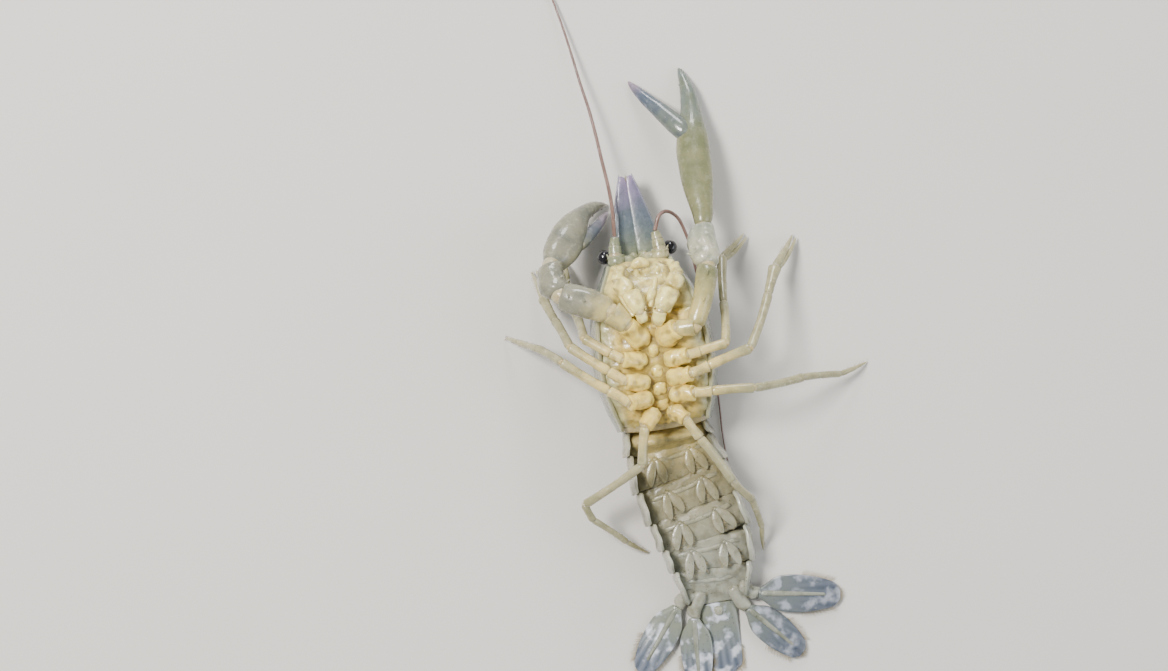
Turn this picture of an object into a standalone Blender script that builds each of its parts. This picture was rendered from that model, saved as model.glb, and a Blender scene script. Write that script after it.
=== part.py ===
# Blue crayfish, life size: a still animal lying on its back, claws and legs spread.
# Frame: +Y runs forward along the thorax, +X towards the animal's own left, +Z up.
# The back rests on the floor, so the underside faces up. The claws, the leg tips,
# the rear lips of the tail rings and the tail fan touch the same floor.
# Lengths are millimetres; MM turns them into metres where a mesh is made.
import math

import bpy
import bmesh
from mathutils import Vector

MM = 0.001
GAP = 0.3
UP = Vector((0, 0, 1))

# Thorax shell: forward place, half width, height of the back, height of the lower edge
SHELL_ROWS = (
    (0.0, 6.8, 0.5, 9.2),
    (3.0, 8.0, 0.0, 11.2),
    (8.0, 8.9, 0.0, 12.5),
    (14.0, 8.7, 0.0, 12.8),
    (18.0, 7.8, 0.1, 12.1),
    (21.0, 6.4, 0.5, 10.6),
    (23.6, 4.9, 1.1, 8.9),
)
SHELL_STEPS = 28
SHELL_TROUGH = 3.0
SHELL_WALL = 0.7
SHELL_FLAT = 1.3
RIM_SHARE = 0.87
RIM_SINK = 0.25
GROOVE_BACK = 15.0
GROOVE_SIDE = 19.5
GROOVE_DEPTH = 0.4
GROOVE_WIDTH = 0.9
HEAD_FRONT = 23.6
ROSTRUM_TIP = 35.4
MOUTH_START = 16.4
UNDERSIDE_DOME = 0.6
MOUTH_DOME = 0.5
SCALE_LENGTH = 12.3

# Tail rings: length of each, and half width and depth at each end of each
RING_LENGTHS = (3.0, 4.7, 4.7, 4.6, 4.4, 5.0)
RING_WIDTHS = (6.6, 7.0, 7.6, 7.6, 7.2, 6.4, 4.6)
RING_DEPTHS = (7.6, 8.2, 8.4, 8.2, 7.6, 6.4, 3.6)
RING_TROUGH = 1.9
RING_WALL = 0.6
RING_LIP = 0.35
TAIL_SHIFT = 3.6
TAIL_BEND = 21.0

# Tail fan blades: side shift and forward place of the root, turn from straight back, length, width
TELSON_LENGTH = 10.8
TELSON_WIDTH = 5.6
BLADES = {
    "uropod_outer_left": (6.0, -26.3, 80.0, 12.0, 5.6),
    "uropod_inner_left": (4.2, -28.2, 42.0, 10.4, 5.0),
    "uropod_inner_right": (-3.7, -28.4, -4.0, 10.2, 4.8),
    "uropod_outer_right": (-5.8, -26.4, -38.0, 11.0, 5.0),
}

# Walking legs: joints from the thorax outwards, each (left, forward, up), then half
# widths at those joints. A leg is parted at its root and at the knee, the third joint from its tip.
LEGS = {
    "leg_2_left": (
        ((1.7, 9.2, 12.8), (4.6, 9.5, 14.3), (10.2, 10.2, 13.2),
         (11.0, 16.0, 8.6), (11.9, 22.4, 4.2), (15.8, 25.5, 0.45)),
        (1.2, 0.78, 0.7, 0.62, 0.75, 0.2)),
    "leg_3_left": (
        ((1.7, 6.6, 12.8), (4.6, 6.8, 14.3), (13.5, 9.0, 13.6),
         (17.5, 16.2, 8.0), (19.2, 19.8, 5.2), (22.7, 24.2, 0.4)),
        (1.2, 0.8, 0.72, 0.66, 0.9, 0.24)),
    "leg_4_left": (
        ((1.7, 4.2, 12.6), (4.6, 4.1, 14.2), (13.2, 3.4, 13.6),
         (20.6, 3.7, 8.4), (26.2, 3.2, 3.2), (30.6, 4.3, 0.25)),
        (1.2, 0.78, 0.68, 0.6, 0.46, 0.17)),
    "leg_5_left": (
        ((1.2, 2.2, 12.2), (2.9, 0.6, 13.3), (8.2, -9.3, 11.2),
         (10.6, -12.4, 8.2), (11.6, -16.8, 3.6), (11.4, -20.4, 0.25)),
        (1.1, 0.74, 0.62, 0.55, 0.42, 0.17)),
    "leg_2_right": (
        ((-1.7, 9.6, 12.8), (-4.6, 10.2, 14.3), (-9.5, 14.0, 13.2),
         (-9.9, 16.9, 8.6), (-11.2, 21.6, 4.2), (-11.4, 26.0, 0.45)),
        (1.2, 0.78, 0.7, 0.62, 0.75, 0.2)),
    "leg_3_right": (
        ((-1.7, 6.6, 12.8), (-4.6, 7.0, 14.3), (-11.7, 13.2, 13.0),
         (-13.2, 17.2, 9.0), (-14.4, 20.6, 5.4), (-15.6, 24.8, 0.45)),
        (1.2, 0.78, 0.7, 0.62, 0.75, 0.2)),
    "leg_4_right": (
        ((-1.7, 4.2, 12.6), (-4.6, 4.0, 14.2), (-13.2, 11.2, 13.2),
         (-16.2, 13.6, 8.8), (-18.9, 14.9, 4.0), (-20.8, 15.9, 0.25)),
        (1.2, 0.78, 0.68, 0.58, 0.44, 0.17)),
    "leg_5_right": (
        ((-1.2, 2.2, 12.2), (-2.9, 0.4, 13.3), (-4.1, -5.0, 12.4), (-13.1, -9.4, 8.8),
         (-12.3, -11.8, 7.2), (-8.0, -15.9, 3.2), (-5.0, -18.2, 0.25)),
        (1.1, 0.74, 0.68, 0.6, 0.52, 0.42, 0.17)),
}
PINCER_LEGS = ("leg_2_left", "leg_3_left", "leg_2_right", "leg_3_right")

# Claws: centre line with half width and half thickness at each place, from the thorax
# out to the tip of the fixed finger, and the numbers of the places where it is parted
CLAW_COXA, CLAW_ELBOW, CLAW_WRIST = 1, 5, 8
CLAW_LIMBS = {
    "left": (
        ((1.7, 12.4, 12.6), 1.5, 1.4), ((3.6, 13.4, 14.6), 1.2, 1.1), ((6.2, 13.3, 15.0), 1.4, 1.35),
        ((7.9, 16.6, 14.6), 1.4, 1.4), ((9.0, 20.2, 13.3), 1.55, 1.45), ((9.4, 21.5, 12.7), 1.4, 1.3),
        ((9.3, 22.9, 11.9), 2.1, 1.7), ((9.1, 25.4, 10.2), 2.2, 1.8), ((9.8, 27.2, 8.9), 1.35, 1.2),
        ((10.1, 29.2, 8.0), 1.6, 1.5), ((10.0, 32.6, 6.8), 2.15, 1.8), ((10.15, 36.5, 5.4), 2.5, 1.85),
        ((10.4, 40.4, 4.0), 2.4, 1.6), ((10.85, 43.4, 3.0), 1.5, 1.2), ((10.9, 46.6, 2.0), 1.12, 0.9),
        ((10.6, 49.0, 1.1), 0.75, 0.6), ((10.15, 50.6, 0.35), 0.25, 0.25)),
    "right": (
        ((-1.5, 12.4, 12.6), 1.5, 1.4), ((-3.2, 14.8, 14.6), 1.4, 1.15), ((-5.2, 17.1, 15.0), 1.9, 1.4),
        ((-8.6, 19.1, 14.8), 2.2, 1.6), ((-10.6, 19.9, 14.5), 2.1, 1.6), ((-11.8, 20.6, 14.1), 1.8, 1.5),
        ((-12.7, 21.8, 13.6), 2.1, 1.7), ((-13.0, 23.6, 12.5), 2.0, 1.6), ((-12.5, 24.9, 11.5), 1.7, 1.35),
        ((-11.6, 26.1, 10.4), 2.2, 1.4), ((-9.9, 28.0, 8.6), 2.8, 1.6), ((-8.4, 29.7, 7.0), 2.4, 1.5),
        ((-7.4, 31.6, 5.2), 1.3, 1.1), ((-5.6, 32.5, 3.3), 0.95, 0.85),
        ((-4.0, 32.8, 1.5), 0.6, 0.5), ((-3.1, 32.6, 0.35), 0.25, 0.25)),
}
CLAW_FINGERS = {
    "left": (
        ((8.9, 41.4, 3.7), 1.15, 1.0), ((7.4, 43.6, 2.9), 1.05, 0.95), ((5.1, 46.2, 1.9), 0.85, 0.78),
        ((3.4, 48.5, 0.9), 0.55, 0.5), ((2.7, 49.6, 0.35), 0.22, 0.22)),
    "right": (
        ((-7.9, 27.4, 7.8), 1.0, 0.9), ((-6.2, 28.7, 5.8), 1.0, 0.85), ((-4.7, 30.0, 3.7), 0.75, 0.65),
        ((-3.6, 31.1, 1.9), 0.45, 0.45), ((-3.1, 31.6, 0.8), 0.22, 0.22)),
}

# Feelers: places along each, from the peduncle out to the tip
FEELERS = {
    "left": (
        (2.9, 27.7, 7.4), (4.2, 30.0, 6.6), (6.0, 29.7, 4.8), (7.4, 26.6, 2.8), (8.0, 22.0, 1.3),
        (8.3, 16.0, 0.7), (8.6, 9.0, 0.5), (8.4, 2.0, 0.45), (8.2, -5.0, 0.4), (9.0, -12.0, 0.35)),
    "right": (
        (-2.9, 27.7, 7.4), (-2.6, 32.5, 7.0), (-3.0, 39.0, 5.8), (-3.6, 46.0, 4.2), (-4.3, 50.5, 3.2),
        (-4.9, 55.0, 2.2), (-5.7, 60.0, 1.3), (-6.8, 65.0, 0.7), (-8.2, 69.5, 0.4), (-9.8, 73.0, 0.3)),
}
FEELER_ROOT = 0.42
FEELER_TIP = 0.16
FEELER_SPLIT = 0.45

# Maxillipeds: the pair of flat jaw legs that covers the mouth
MAXILLIPEDS = {
    "left": (
        ((0.95, 14.2, 14.1), 0.7, 0.6), ((1.7, 16.2, 14.8), 1.1, 0.8), ((3.6, 18.9, 14.5), 1.5, 0.85),
        ((5.0, 20.9, 13.7), 1.2, 0.8), ((4.6, 22.4, 12.5), 0.8, 0.65), ((3.1, 23.1, 11.8), 0.45, 0.4)),
    "right": (
        ((-0.75, 14.9, 14.1), 0.6, 0.5), ((-1.1, 16.4, 14.6), 0.9, 0.7), ((-1.9, 19.2, 14.3), 1.35, 0.8),
        ((-3.6, 21.2, 13.1), 1.2, 0.8), ((-3.2, 22.6, 12.2), 0.8, 0.65), ((-1.9, 23.2, 11.6), 0.45, 0.4)),
}

# Colours as seen, 0 to 255, with roughness
COLOURS = {
    "thorax_shell": ((152, 148, 118), 0.25),
    "thorax_underside": ((215, 195, 145), 0.32),
    "mouth": ((225, 210, 160), 0.3),
    "eye": ((22, 20, 24), 0.08),
    "scale_blue": ((112, 134, 152), 0.22),
    "feeler": ((128, 92, 84), 0.3),
    "claw": ((158, 164, 145), 0.24),
    "claw_tip": ((140, 150, 165), 0.22),
    "leg": ((185, 180, 155), 0.26),
    "tail_ring": ((150, 145, 120), 0.25),
    "tail_fan": ((140, 148, 160), 0.2),
}


def lerp(low, high, share):
    return low + (high - low) * share


def ease(share):
    share = min(max(share, 0.0), 1.0)
    return share * share * (3 - 2 * share)


def curve_value(rows, place, column):
    # a smooth curve through the rows, each slope taken from the two rows beside it
    last = len(rows) - 1
    index = max(i for i in range(last) if i == 0 or rows[i][0] <= place)

    def slope(at):
        low, high = max(at - 1, 0), min(at + 1, last)
        return (rows[high][column] - rows[low][column]) / (rows[high][0] - rows[low][0])

    span = rows[index + 1][0] - rows[index][0]
    t = (place - rows[index][0]) / span
    start, end = rows[index][column], rows[index + 1][column]
    bend = slope(index) * span * t * (1 - t) ** 2 - slope(index + 1) * span * t * t * (1 - t)
    return start + (end - start) * ease(t) + bend


def route_points(places, count):
    # evenly numbered points on a smooth curve through the places
    rows = [(index,) + tuple(place) for index, place in enumerate(places)]
    last = len(rows) - 1
    steps = [last * number / (count - 1) for number in range(count)]
    return [Vector([curve_value(rows, step, column) for column in (1, 2, 3)]) for step in steps]


def make_object(name, vertices, faces):
    mesh = bpy.data.meshes.new(name)
    mesh.from_pydata([Vector(vertex) * MM for vertex in vertices], [], faces)
    shape = bmesh.new()
    shape.from_mesh(mesh)
    bmesh.ops.recalc_face_normals(shape, faces=shape.faces)
    shape.to_mesh(mesh)
    shape.free()
    piece = bpy.data.objects.new(name, mesh)
    bpy.context.scene.collection.objects.link(piece)
    return piece


def loft(name, rings):
    # a closed body through rings of equal point count, with flat ends
    count = len(rings[0])
    vertices = [point for ring in rings for point in ring]
    faces = []
    for row in range(len(rings) - 1):
        for column in range(count):
            near = row * count + column
            side = row * count + (column + 1) % count
            faces.append((near, side, side + count, near + count))
    faces.append(tuple(reversed(range(count))))
    faces.append(tuple(range(len(vertices) - count, len(vertices))))
    return make_object(name, vertices, faces)


def frames(stations):
    # centre, direction, half width and half thickness; a bend takes the mean direction
    result = []
    for index, (place, wide, thick) in enumerate(stations):
        here = Vector(place)
        before = (here - Vector(stations[max(index - 1, 0)][0])).normalized()
        after = (Vector(stations[min(index + 1, len(stations) - 1)][0]) - here).normalized()
        result.append((here, (before + after).normalized(), wide, thick))
    return result


def tube(name, stations, sides=8, trim=(0.0, 0.0), part=None):
    # an oval tube along the stations; trim moves the two end faces inwards
    first, last = part or (0, len(stations) - 1)
    rings = []
    for index, (centre, along, wide, thick) in enumerate(frames(stations)):
        if not first <= index <= last:
            continue
        if index == first:
            centre = centre + along * trim[0]
        if index == last:
            centre = centre - along * trim[1]
        across = along.cross(UP).normalized()
        over = across.cross(along)
        angles = [2 * math.pi * (turn + 0.5) / sides for turn in range(sides)]
        rings.append([centre + across * (wide * math.cos(a)) + over * (thick * math.sin(a)) for a in angles])
    return loft(name, rings)


def keep_largest(piece):
    shape = bmesh.new()
    shape.from_mesh(piece.data)
    left = set(shape.faces)
    groups = []
    while left:
        queue = [left.pop()]
        group = set(queue)
        while queue:
            face = queue.pop()
            for edge in face.edges:
                for other in edge.link_faces:
                    if other in left:
                        left.discard(other)
                        group.add(other)
                        queue.append(other)
        groups.append(group)
    groups.sort(key=lambda group: sum(face.calc_area() for face in group))
    scraps = [face for group in groups[:-1] for face in group]
    if scraps:
        bmesh.ops.delete(shape, geom=scraps, context="FACES")
    shape.to_mesh(piece.data)
    shape.free()


def combine(piece, others, operation, solver="EXACT"):
    # one Boolean with a collection of closed pieces, which is applied and then removed
    if not others:
        return piece
    group = bpy.data.collections.new("pieces")
    for other in others:
        group.objects.link(other)
    step = piece.modifiers.new("combine", "BOOLEAN")
    step.operation = operation
    step.operand_type = "COLLECTION"
    step.collection = group
    step.solver = solver
    bpy.context.view_layer.update()
    result = piece.evaluated_get(bpy.context.evaluated_depsgraph_get())
    mesh = bpy.data.meshes.new_from_object(result)
    piece.modifiers.clear()
    piece.data = mesh
    for other in others:
        bpy.data.objects.remove(other)
    bpy.data.collections.remove(group)
    keep_largest(piece)
    return piece


def material(kind):
    if kind in bpy.data.materials:
        return bpy.data.materials[kind]
    colour, roughness = COLOURS[kind]
    made = bpy.data.materials.new(kind)
    made.use_nodes = True
    shader = made.node_tree.nodes["Principled BSDF"]
    linear = [((value / 255 + 0.055) / 1.055) ** 2.4 for value in colour]
    shader.inputs["Base Color"].default_value = (*linear, 1.0)
    shader.inputs["Roughness"].default_value = roughness
    shader.inputs["Metallic"].default_value = 0.0
    return made


def finish(piece, name, kind, root, parent):
    # the piece gets its name, its material, its origin at its root and the shared parent
    pivot = Vector(root) * MM
    piece.name = name
    piece.data.name = name
    for vertex in piece.data.vertices:
        vertex.co -= pivot
    piece.location = pivot
    piece.parent = parent
    piece.data.materials.clear()
    piece.data.materials.append(material(kind))
    piece.data.shade_smooth()
    piece.data.set_sharp_from_angle(angle=math.radians(40))


def shell_profile(wide, back, edge, floor, wall, flat):
    # half a ring of the shell from the flat of the back, round the side, over the rim and down inside
    middle = lerp(back, edge, 0.5)
    rim = wide * RIM_SHARE
    points = []
    for step in range(6):
        angle = math.pi / 2 * step / 5
        points.append((flat + (wide - flat) * math.sin(angle), lerp(middle, back, math.cos(angle))))
    for step in range(1, 5):
        angle = math.pi / 2 * step / 4
        points.append((rim + (wide - rim) * math.cos(angle), lerp(middle, edge, math.sin(angle))))
    points.append((rim - wall, edge))
    points.append((rim - wall - GAP, floor))
    return points


def full_ring(half, back, floor):
    return [(0.0, back)] + half + [(0.0, floor)] + [(-u, z) for u, z in reversed(half)]


def shell_values(place):
    wide = curve_value(SHELL_ROWS, place, 1)
    back = max(curve_value(SHELL_ROWS, place, 2), 0.0)
    edge = curve_value(SHELL_ROWS, place, 3)
    return wide, back, edge, edge - SHELL_TROUGH


def carapace(parent):
    rings = []
    for step in range(SHELL_STEPS + 1):
        place = HEAD_FRONT * step / SHELL_STEPS
        wide, back, edge, floor = shell_values(place)
        half = shell_profile(wide, back, edge, floor, SHELL_WALL, SHELL_FLAT)
        grooved = []
        for number, (u, z) in enumerate(half):
            share = min(number / 9, 1.0)
            distance = (place - lerp(GROOVE_BACK, GROOVE_SIDE, share)) / GROOVE_WIDTH
            dip = GROOVE_DEPTH * math.exp(-distance * distance) if number < 9 else 0.0
            inward = Vector((-u, lerp(back, edge, 0.5) - z)).normalized() * dip
            grooved.append((u + inward.x, z + inward.y))
        rings.append([(u, place, z) for u, z in full_ring(grooved, grooved[0][1], floor)])
    shell = loft("carapace", rings)
    rostrum = tube("rostrum", (
        ((0, 21.8, 2.6), 1.4, 0.9), ((0, 23.8, 2.4), 2.3, 1.1), ((0, 27.0, 2.0), 1.9, 0.9),
        ((0, 31.0, 1.8), 1.3, 0.65), ((0, 34.0, 1.7), 0.75, 0.42), ((0, ROSTRUM_TIP, 1.7), 0.2, 0.2)))
    spines = []
    for side in (-1, 1):
        for place, reach in ((29.4, 1.45), (31.6, 1.05), (33.4, 0.75)):
            spines.append(tube("spine", (
                ((side * reach * 0.6, place - 0.3, 1.75), 0.4, 0.3),
                ((side * (reach + 0.75), place + 0.8, 1.6), 0.14, 0.14)), sides=5))
    combine(shell, [rostrum] + spines, "UNION")
    finish(shell, "carapace", "thorax_shell", (0, 0, 0), parent)


def filler_ring(place, dome):
    # what fills the trough of the shell: flat below, domed above, clear of the shell by the gap
    wide, back, edge, floor = shell_values(place)
    low = wide * RIM_SHARE - SHELL_WALL - 2 * GAP
    high, top = low + GAP, edge - RIM_SINK
    half = [(low, floor + GAP), (high, top)]
    half += [(high * math.cos(a), top + dome * math.sin(a)) for a in (0.5, 0.9, 1.25)]
    return [(u, place, z) for u, z in full_ring(half, floor + GAP, top + dome)]


def filler(name, start, end, steps, dome):
    places = [lerp(start, end, step / steps) for step in range(steps + 1)]
    return loft(name, [filler_ring(place, dome) for place in places])


def limb_stations(joints, widths, thin=1.0):
    # each article is slim behind its joint and swells towards its far end
    stations = [(joints[0], widths[0], widths[0] * thin)]
    for near, far, wide, next_wide in zip(joints, joints[1:], widths, widths[1:]):
        start, end = Vector(near), Vector(far)
        length = (end - start).length
        first = min(1.2 * wide / length, 0.3)
        last = 1 - min(1.2 * next_wide / length, 0.3)
        middle = lerp(wide, next_wide, 0.5)
        for share, size in ((first, wide * 0.94), (0.55, middle), (last, next_wide * 1.12), (1.0, next_wide * 0.92)):
            stations.append((tuple(start.lerp(end, share)), size, size * thin))
    return stations


def stations_at(joint):
    return 4 * joint


def pincer(name, stations):
    # a small second finger beside the last article of a leg
    palm, tip = Vector(stations[-5][0]), Vector(stations[-1][0])
    along = (tip - palm).normalized()
    across = along.cross(UP).normalized()
    base = palm - along * 0.3 + across * 0.25
    middle = palm.lerp(tip, 0.5) + across * 0.95
    end = tip + across * 0.75
    return tube(name, ((tuple(base), 0.4, 0.4), (tuple(middle), 0.34, 0.34), (tuple(end), 0.17, 0.17)), sides=6)


def legs(parent):
    # returns the coxae, which belong to the underside of the thorax
    coxae = []
    for name, (joints, widths) in LEGS.items():
        stations = limb_stations(joints, widths)
        last = len(stations) - 1
        knee = stations_at(len(joints) - 4)
        coxae.append(tube("coxa", stations, part=(0, 4), trim=(0, GAP / 2)))
        upper = tube(name, stations, part=(4, knee), trim=(GAP / 2, GAP / 2))
        finish(upper, name + "_upper", "leg", joints[1], parent)
        lower = tube(name, stations, part=(knee, last), trim=(GAP / 2, 0))
        if name in PINCER_LEGS:
            combine(lower, [pincer("finger", stations)], "UNION")
        finish(lower, name + "_lower", "leg", stations[knee][0], parent)
    return coxae


def claws(parent):
    # returns the two coxae of the claws
    coxae = []
    half = GAP / 2
    for side, limb in CLAW_LIMBS.items():
        coxae.append(tube("coxa", limb, part=(0, CLAW_COXA), sides=10, trim=(0, half)))
        arm = tube("arm", limb, part=(CLAW_COXA, CLAW_ELBOW), sides=10, trim=(half, half))
        finish(arm, f"claw_{side}_arm", "claw", limb[CLAW_COXA][0], parent)
        wrist = tube("wrist", limb, part=(CLAW_ELBOW, CLAW_WRIST), sides=10, trim=(half, half))
        finish(wrist, f"claw_{side}_wrist", "claw", limb[CLAW_ELBOW][0], parent)
        palm = tube("palm", limb, part=(CLAW_WRIST, len(limb) - 1), sides=10, trim=(half, 0))
        finger = CLAW_FINGERS[side]
        grown = [(place, wide + GAP, thick + GAP) for place, wide, thick in finger]
        combine(palm, [tube("cutter", grown, sides=10, trim=(-GAP, -GAP))], "DIFFERENCE")
        finish(palm, f"claw_{side}_palm", "claw", limb[CLAW_WRIST][0], parent)
        moving = tube("finger", finger, sides=10)
        finish(moving, f"claw_{side}_finger", "claw_tip", finger[0][0], parent)
    return coxae


def underside(parent, coxae):
    body = filler("underside", 0.6, MOUTH_START - GAP, 14, UNDERSIDE_DOME)
    combine(body, coxae, "UNION")
    finish(body, "thorax_underside", "thorax_underside", (0, 0.6, 12), parent)


def mouth(parent):
    body = filler("mouth", MOUTH_START, HEAD_FRONT - 0.1, 8, MOUTH_DOME)
    lobes = []
    for side in (-1, 1):
        for shift, start, end in ((0.75, 19.2, 22.8), (2.3, 20.2, 23.0)):
            height = shell_values(end)[2] + 0.9
            lobes.append(tube("lobe", (
                ((side * shift, start, height), 0.4, 0.4),
                ((side * shift, (start + end) / 2, height), 0.65, 0.6),
                ((side * shift, end, height - 0.3), 0.4, 0.4)), sides=7))
    combine(body, lobes, "UNION")
    finish(body, "mouth_frame", "mouth", (0, MOUTH_START, 12), parent)
    for side, stations in MAXILLIPEDS.items():
        limb = tube("maxilliped", stations, sides=9)
        finish(limb, f"maxilliped_{side}", "mouth", stations[0][0], parent)


def ball(name, centre, radius, rings=7, segments=12):
    shape = bmesh.new()
    bmesh.ops.create_uvsphere(shape, u_segments=segments, v_segments=rings, radius=radius)
    vertices = [vertex.co + Vector(centre) for vertex in shape.verts]
    faces = [tuple(vertex.index for vertex in face.verts) for face in shape.faces]
    shape.free()
    return make_object(name, vertices, faces)


def head(parent):
    front = HEAD_FRONT + GAP
    for side, way in (("left", 1), ("right", -1)):
        stalk = tube("stalk", (
            ((way * 3.4, front, 3.3), 0.7, 0.65), ((way * 3.4, front + 0.2, 3.3), 0.7, 0.65),
            ((way * 4.4, front + 1.0, 3.4), 0.75, 0.7)))
        eye = combine(ball("eye", (way * 4.8, front + 1.2, 3.45), 1.1), [stalk], "UNION")
        finish(eye, f"eye_{side}", "eye", (way * 3.2, front, 3.3), parent)
        stem = tube("antennule", (
            ((way * 1.0, front, 4.1), 0.5, 0.5), ((way * 1.0, front + 2.6, 4.15), 0.5, 0.45)))
        whips = [tube("whip", (
            ((way * 1.0, front + 2.0, 4.15), 0.28, 0.28), ((way * reach, front + 4.8, 4.1), 0.28, 0.28),
            ((way * reach * 1.1, front + 9.0, 3.9), 0.25, 0.25)), sides=6) for reach in (0.7, 1.5)]
        combine(stem, whips, "UNION")
        finish(stem, f"antennule_{side}", "scale_blue", (way * 1.0, front, 4.1), parent)
        root = Vector(FEELERS[side][0])
        peduncle = tube("peduncle", (
            ((way * 3.1, front, 7.35), 1.1, 1.0), ((way * 3.2, front + 1.1, 7.5), 1.35, 1.15),
            ((way * 3.1, front + 2.5, 7.45), 0.95, 0.9), (tuple(root - Vector((0, GAP, 0))), 0.6, 0.6)))
        finish(peduncle, f"antenna_{side}_base", "scale_blue", (way * 3.1, front, 7.35), parent)
        points = route_points(FEELERS[side], 25)
        last = len(points) - 1
        stations = [(tuple(point), *[lerp(FEELER_ROOT, FEELER_TIP, number / last)] * 2)
                    for number, point in enumerate(points)]
        split = round(last * FEELER_SPLIT)
        near = tube("feeler", stations, sides=6, part=(0, split), trim=(0, GAP / 2))
        finish(near, f"antenna_{side}_near", "feeler", points[0], parent)
        far = tube("feeler", stations, sides=6, part=(split, last), trim=(GAP / 2, 0))
        finish(far, f"antenna_{side}_far", "feeler", points[split], parent)


def plate(name, rows, columns, point):
    # a thin closed blade; both faces are split alike. point(s, t) gives the low and the high surface
    vertices = []
    for row in range(rows + 1):
        for column in range(columns + 1):
            vertices += point(row / rows, 2 * column / columns - 1)

    def index(row, column, face):
        return 2 * (row * (columns + 1) + column) + face

    faces = []
    for row in range(rows):
        for column in range(columns):
            for face in (0, 1):
                a, b = index(row, column, face), index(row, column + 1, face)
                c, d = index(row + 1, column + 1, face), index(row + 1, column, face)
                faces += [(a, b, c), (a, c, d)] if face else [(a, c, b), (a, d, c)]
    border = [(0, column) for column in range(columns)]
    border += [(row, columns) for row in range(rows)]
    border += [(rows, columns - column) for column in range(columns)]
    border += [(rows - row, 0) for row in range(rows)]
    for here, after in zip(border, border[1:] + border[:1]):
        a, b = index(*here, 0), index(*after, 0)
        faces += [(a, b, b + 1), (a, b + 1, a + 1)]
    return make_object(name, vertices, faces)


def antennal_scales(parent):
    for side, way in (("left", 1), ("right", -1)):
        def point(s, t, way=way):
            outer = lerp(4.1, 1.1, s)
            inner = 0.2 + 2.2 * (1 - ease(s / 0.26))
            across = lerp(inner, outer, (t + 1) / 2)
            forward = HEAD_FRONT + GAP + SCALE_LENGTH * s - 0.6 * ease((s - 0.7) / 0.3) * t * t
            thick = 0.28 + 0.14 * (1 - t * t) * (1 - s)
            height = 5.3 - 0.5 * s
            return [(way * across, forward, height - thick), (way * across, forward, height + thick)]

        blade = plate("scale", 10, 5, point)
        finish(blade, f"antennal_scale_{side}", "scale_blue", (way * 3.1, HEAD_FRONT + GAP, 5.3), parent)


def tail_line(behind):
    # the centre line of the tail, which swings towards the animal's left
    shift = TAIL_SHIFT * ease(behind / TAIL_BEND)
    step = 0.1
    slope = (TAIL_SHIFT * ease((behind + step) / TAIL_BEND) - shift) / step
    along = Vector((slope, -1, 0)).normalized()
    return Vector((shift, -behind, 0)), along, Vector((-along.y, along.x, 0))


def ring_values(number, share):
    # half width, back, edge and trough floor of a tail ring; its rear lip stands proud
    lip = ease((share - 0.45) / 0.4)
    wide = lerp(RING_WIDTHS[number], RING_WIDTHS[number + 1], share) * (0.955 + 0.045 * lip)
    back = RING_LIP * (1 - lip)
    edge = lerp(RING_DEPTHS[number], RING_DEPTHS[number + 1], share)
    lobe = 0.76 + 0.24 * math.sin(math.pi * lerp(0.12, 0.86, share)) ** 0.8
    return wide, back, edge * lobe, edge * 0.76 - RING_TROUGH


def tail_point(behind, across, height):
    centre, along, side = tail_line(behind)
    return tuple(centre + side * across + Vector((0, 0, height)))


def swimmeret(start, way, wide, floor):
    # a short stalk with two leaf blades that lie backwards
    root = way * wide * 0.5
    pieces = [tube("stalk", (
        (tail_point(start + 0.9, root, floor - 0.5), 0.5, 0.45),
        (tail_point(start + 1.3, root, floor + 1.2), 0.42, 0.4)), sides=6)]
    for turn in (-1.0, 1.1):
        pieces.append(tube("leaf", (
            (tail_point(start + 0.9, root + way * turn * 0.2, floor + 0.95), 0.35, 0.26),
            (tail_point(start + 2.4, root + way * turn * 0.8, floor + 1.35), 0.75, 0.28),
            (tail_point(start + 3.7, root + way * turn * 1.0, floor + 1.5), 0.55, 0.26),
            (tail_point(start + 4.4, root + way * turn * 1.0, floor + 1.5), 0.25, 0.25)), sides=6))
    return pieces


def tail_rings(parent):
    start = GAP
    for number, length in enumerate(RING_LENGTHS):
        shares = (0, 0.14, 0.32, 0.5, 0.66, 0.8, 0.92, 1)
        rings = []
        for share in shares:
            wide, back, edge, floor = ring_values(number, share)
            half = shell_profile(wide, back, edge, floor, RING_WALL, 0.9)
            behind = start + (length - GAP) * share
            rings.append([tail_point(behind, u, z) for u, z in full_ring(half, back, floor)])
        body = loft("ring", rings)
        wide, back, edge, floor = ring_values(number, 0.3)
        inner = wide * RIM_SHARE - RING_WALL - GAP
        ridge = tube("ridge", [
            (tail_point(start + length * 0.3, inner * share, floor + 0.1), 0.4, 0.35)
            for share in (-1, -0.5, 0, 0.5, 1)], sides=6)
        extra = [ridge]
        if 1 <= number <= 4:
            for way in (-1, 1):
                extra += swimmeret(start, way, inner, floor)
        if number == 5:
            extra += fan_roots()
        combine(body, extra, "UNION")
        finish(body, f"tail_ring_{number + 1}", "tail_ring", tail_point(start, 0, 0), parent)
        start += length


def blade_frame(name):
    shift, place, turn, length, width = BLADES[name]
    root = Vector((TAIL_SHIFT + shift, place, 1.5))
    angle = math.radians(turn)
    along = Vector((math.sin(angle), -math.cos(angle), 0))
    outward = Vector((along.y, -along.x, 0)) * (-1 if turn > 0 else 1)
    return root, along, outward, length, width


def fan_roots():
    # the short stems that carry the four side blades of the fan
    stems = []
    for name in BLADES:
        root, along = blade_frame(name)[:2]
        inner = Vector((TAIL_SHIFT + (root.x - TAIL_SHIFT) * 0.55, -24.6, 2.1))
        middle = root - along * 1.0
        stems.append(tube("stem", (
            (tuple(inner), 1.1, 0.9), (tuple(middle), 1.0, 0.8), (tuple(root - along * GAP), 0.85, 0.6))))
    return stems


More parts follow.
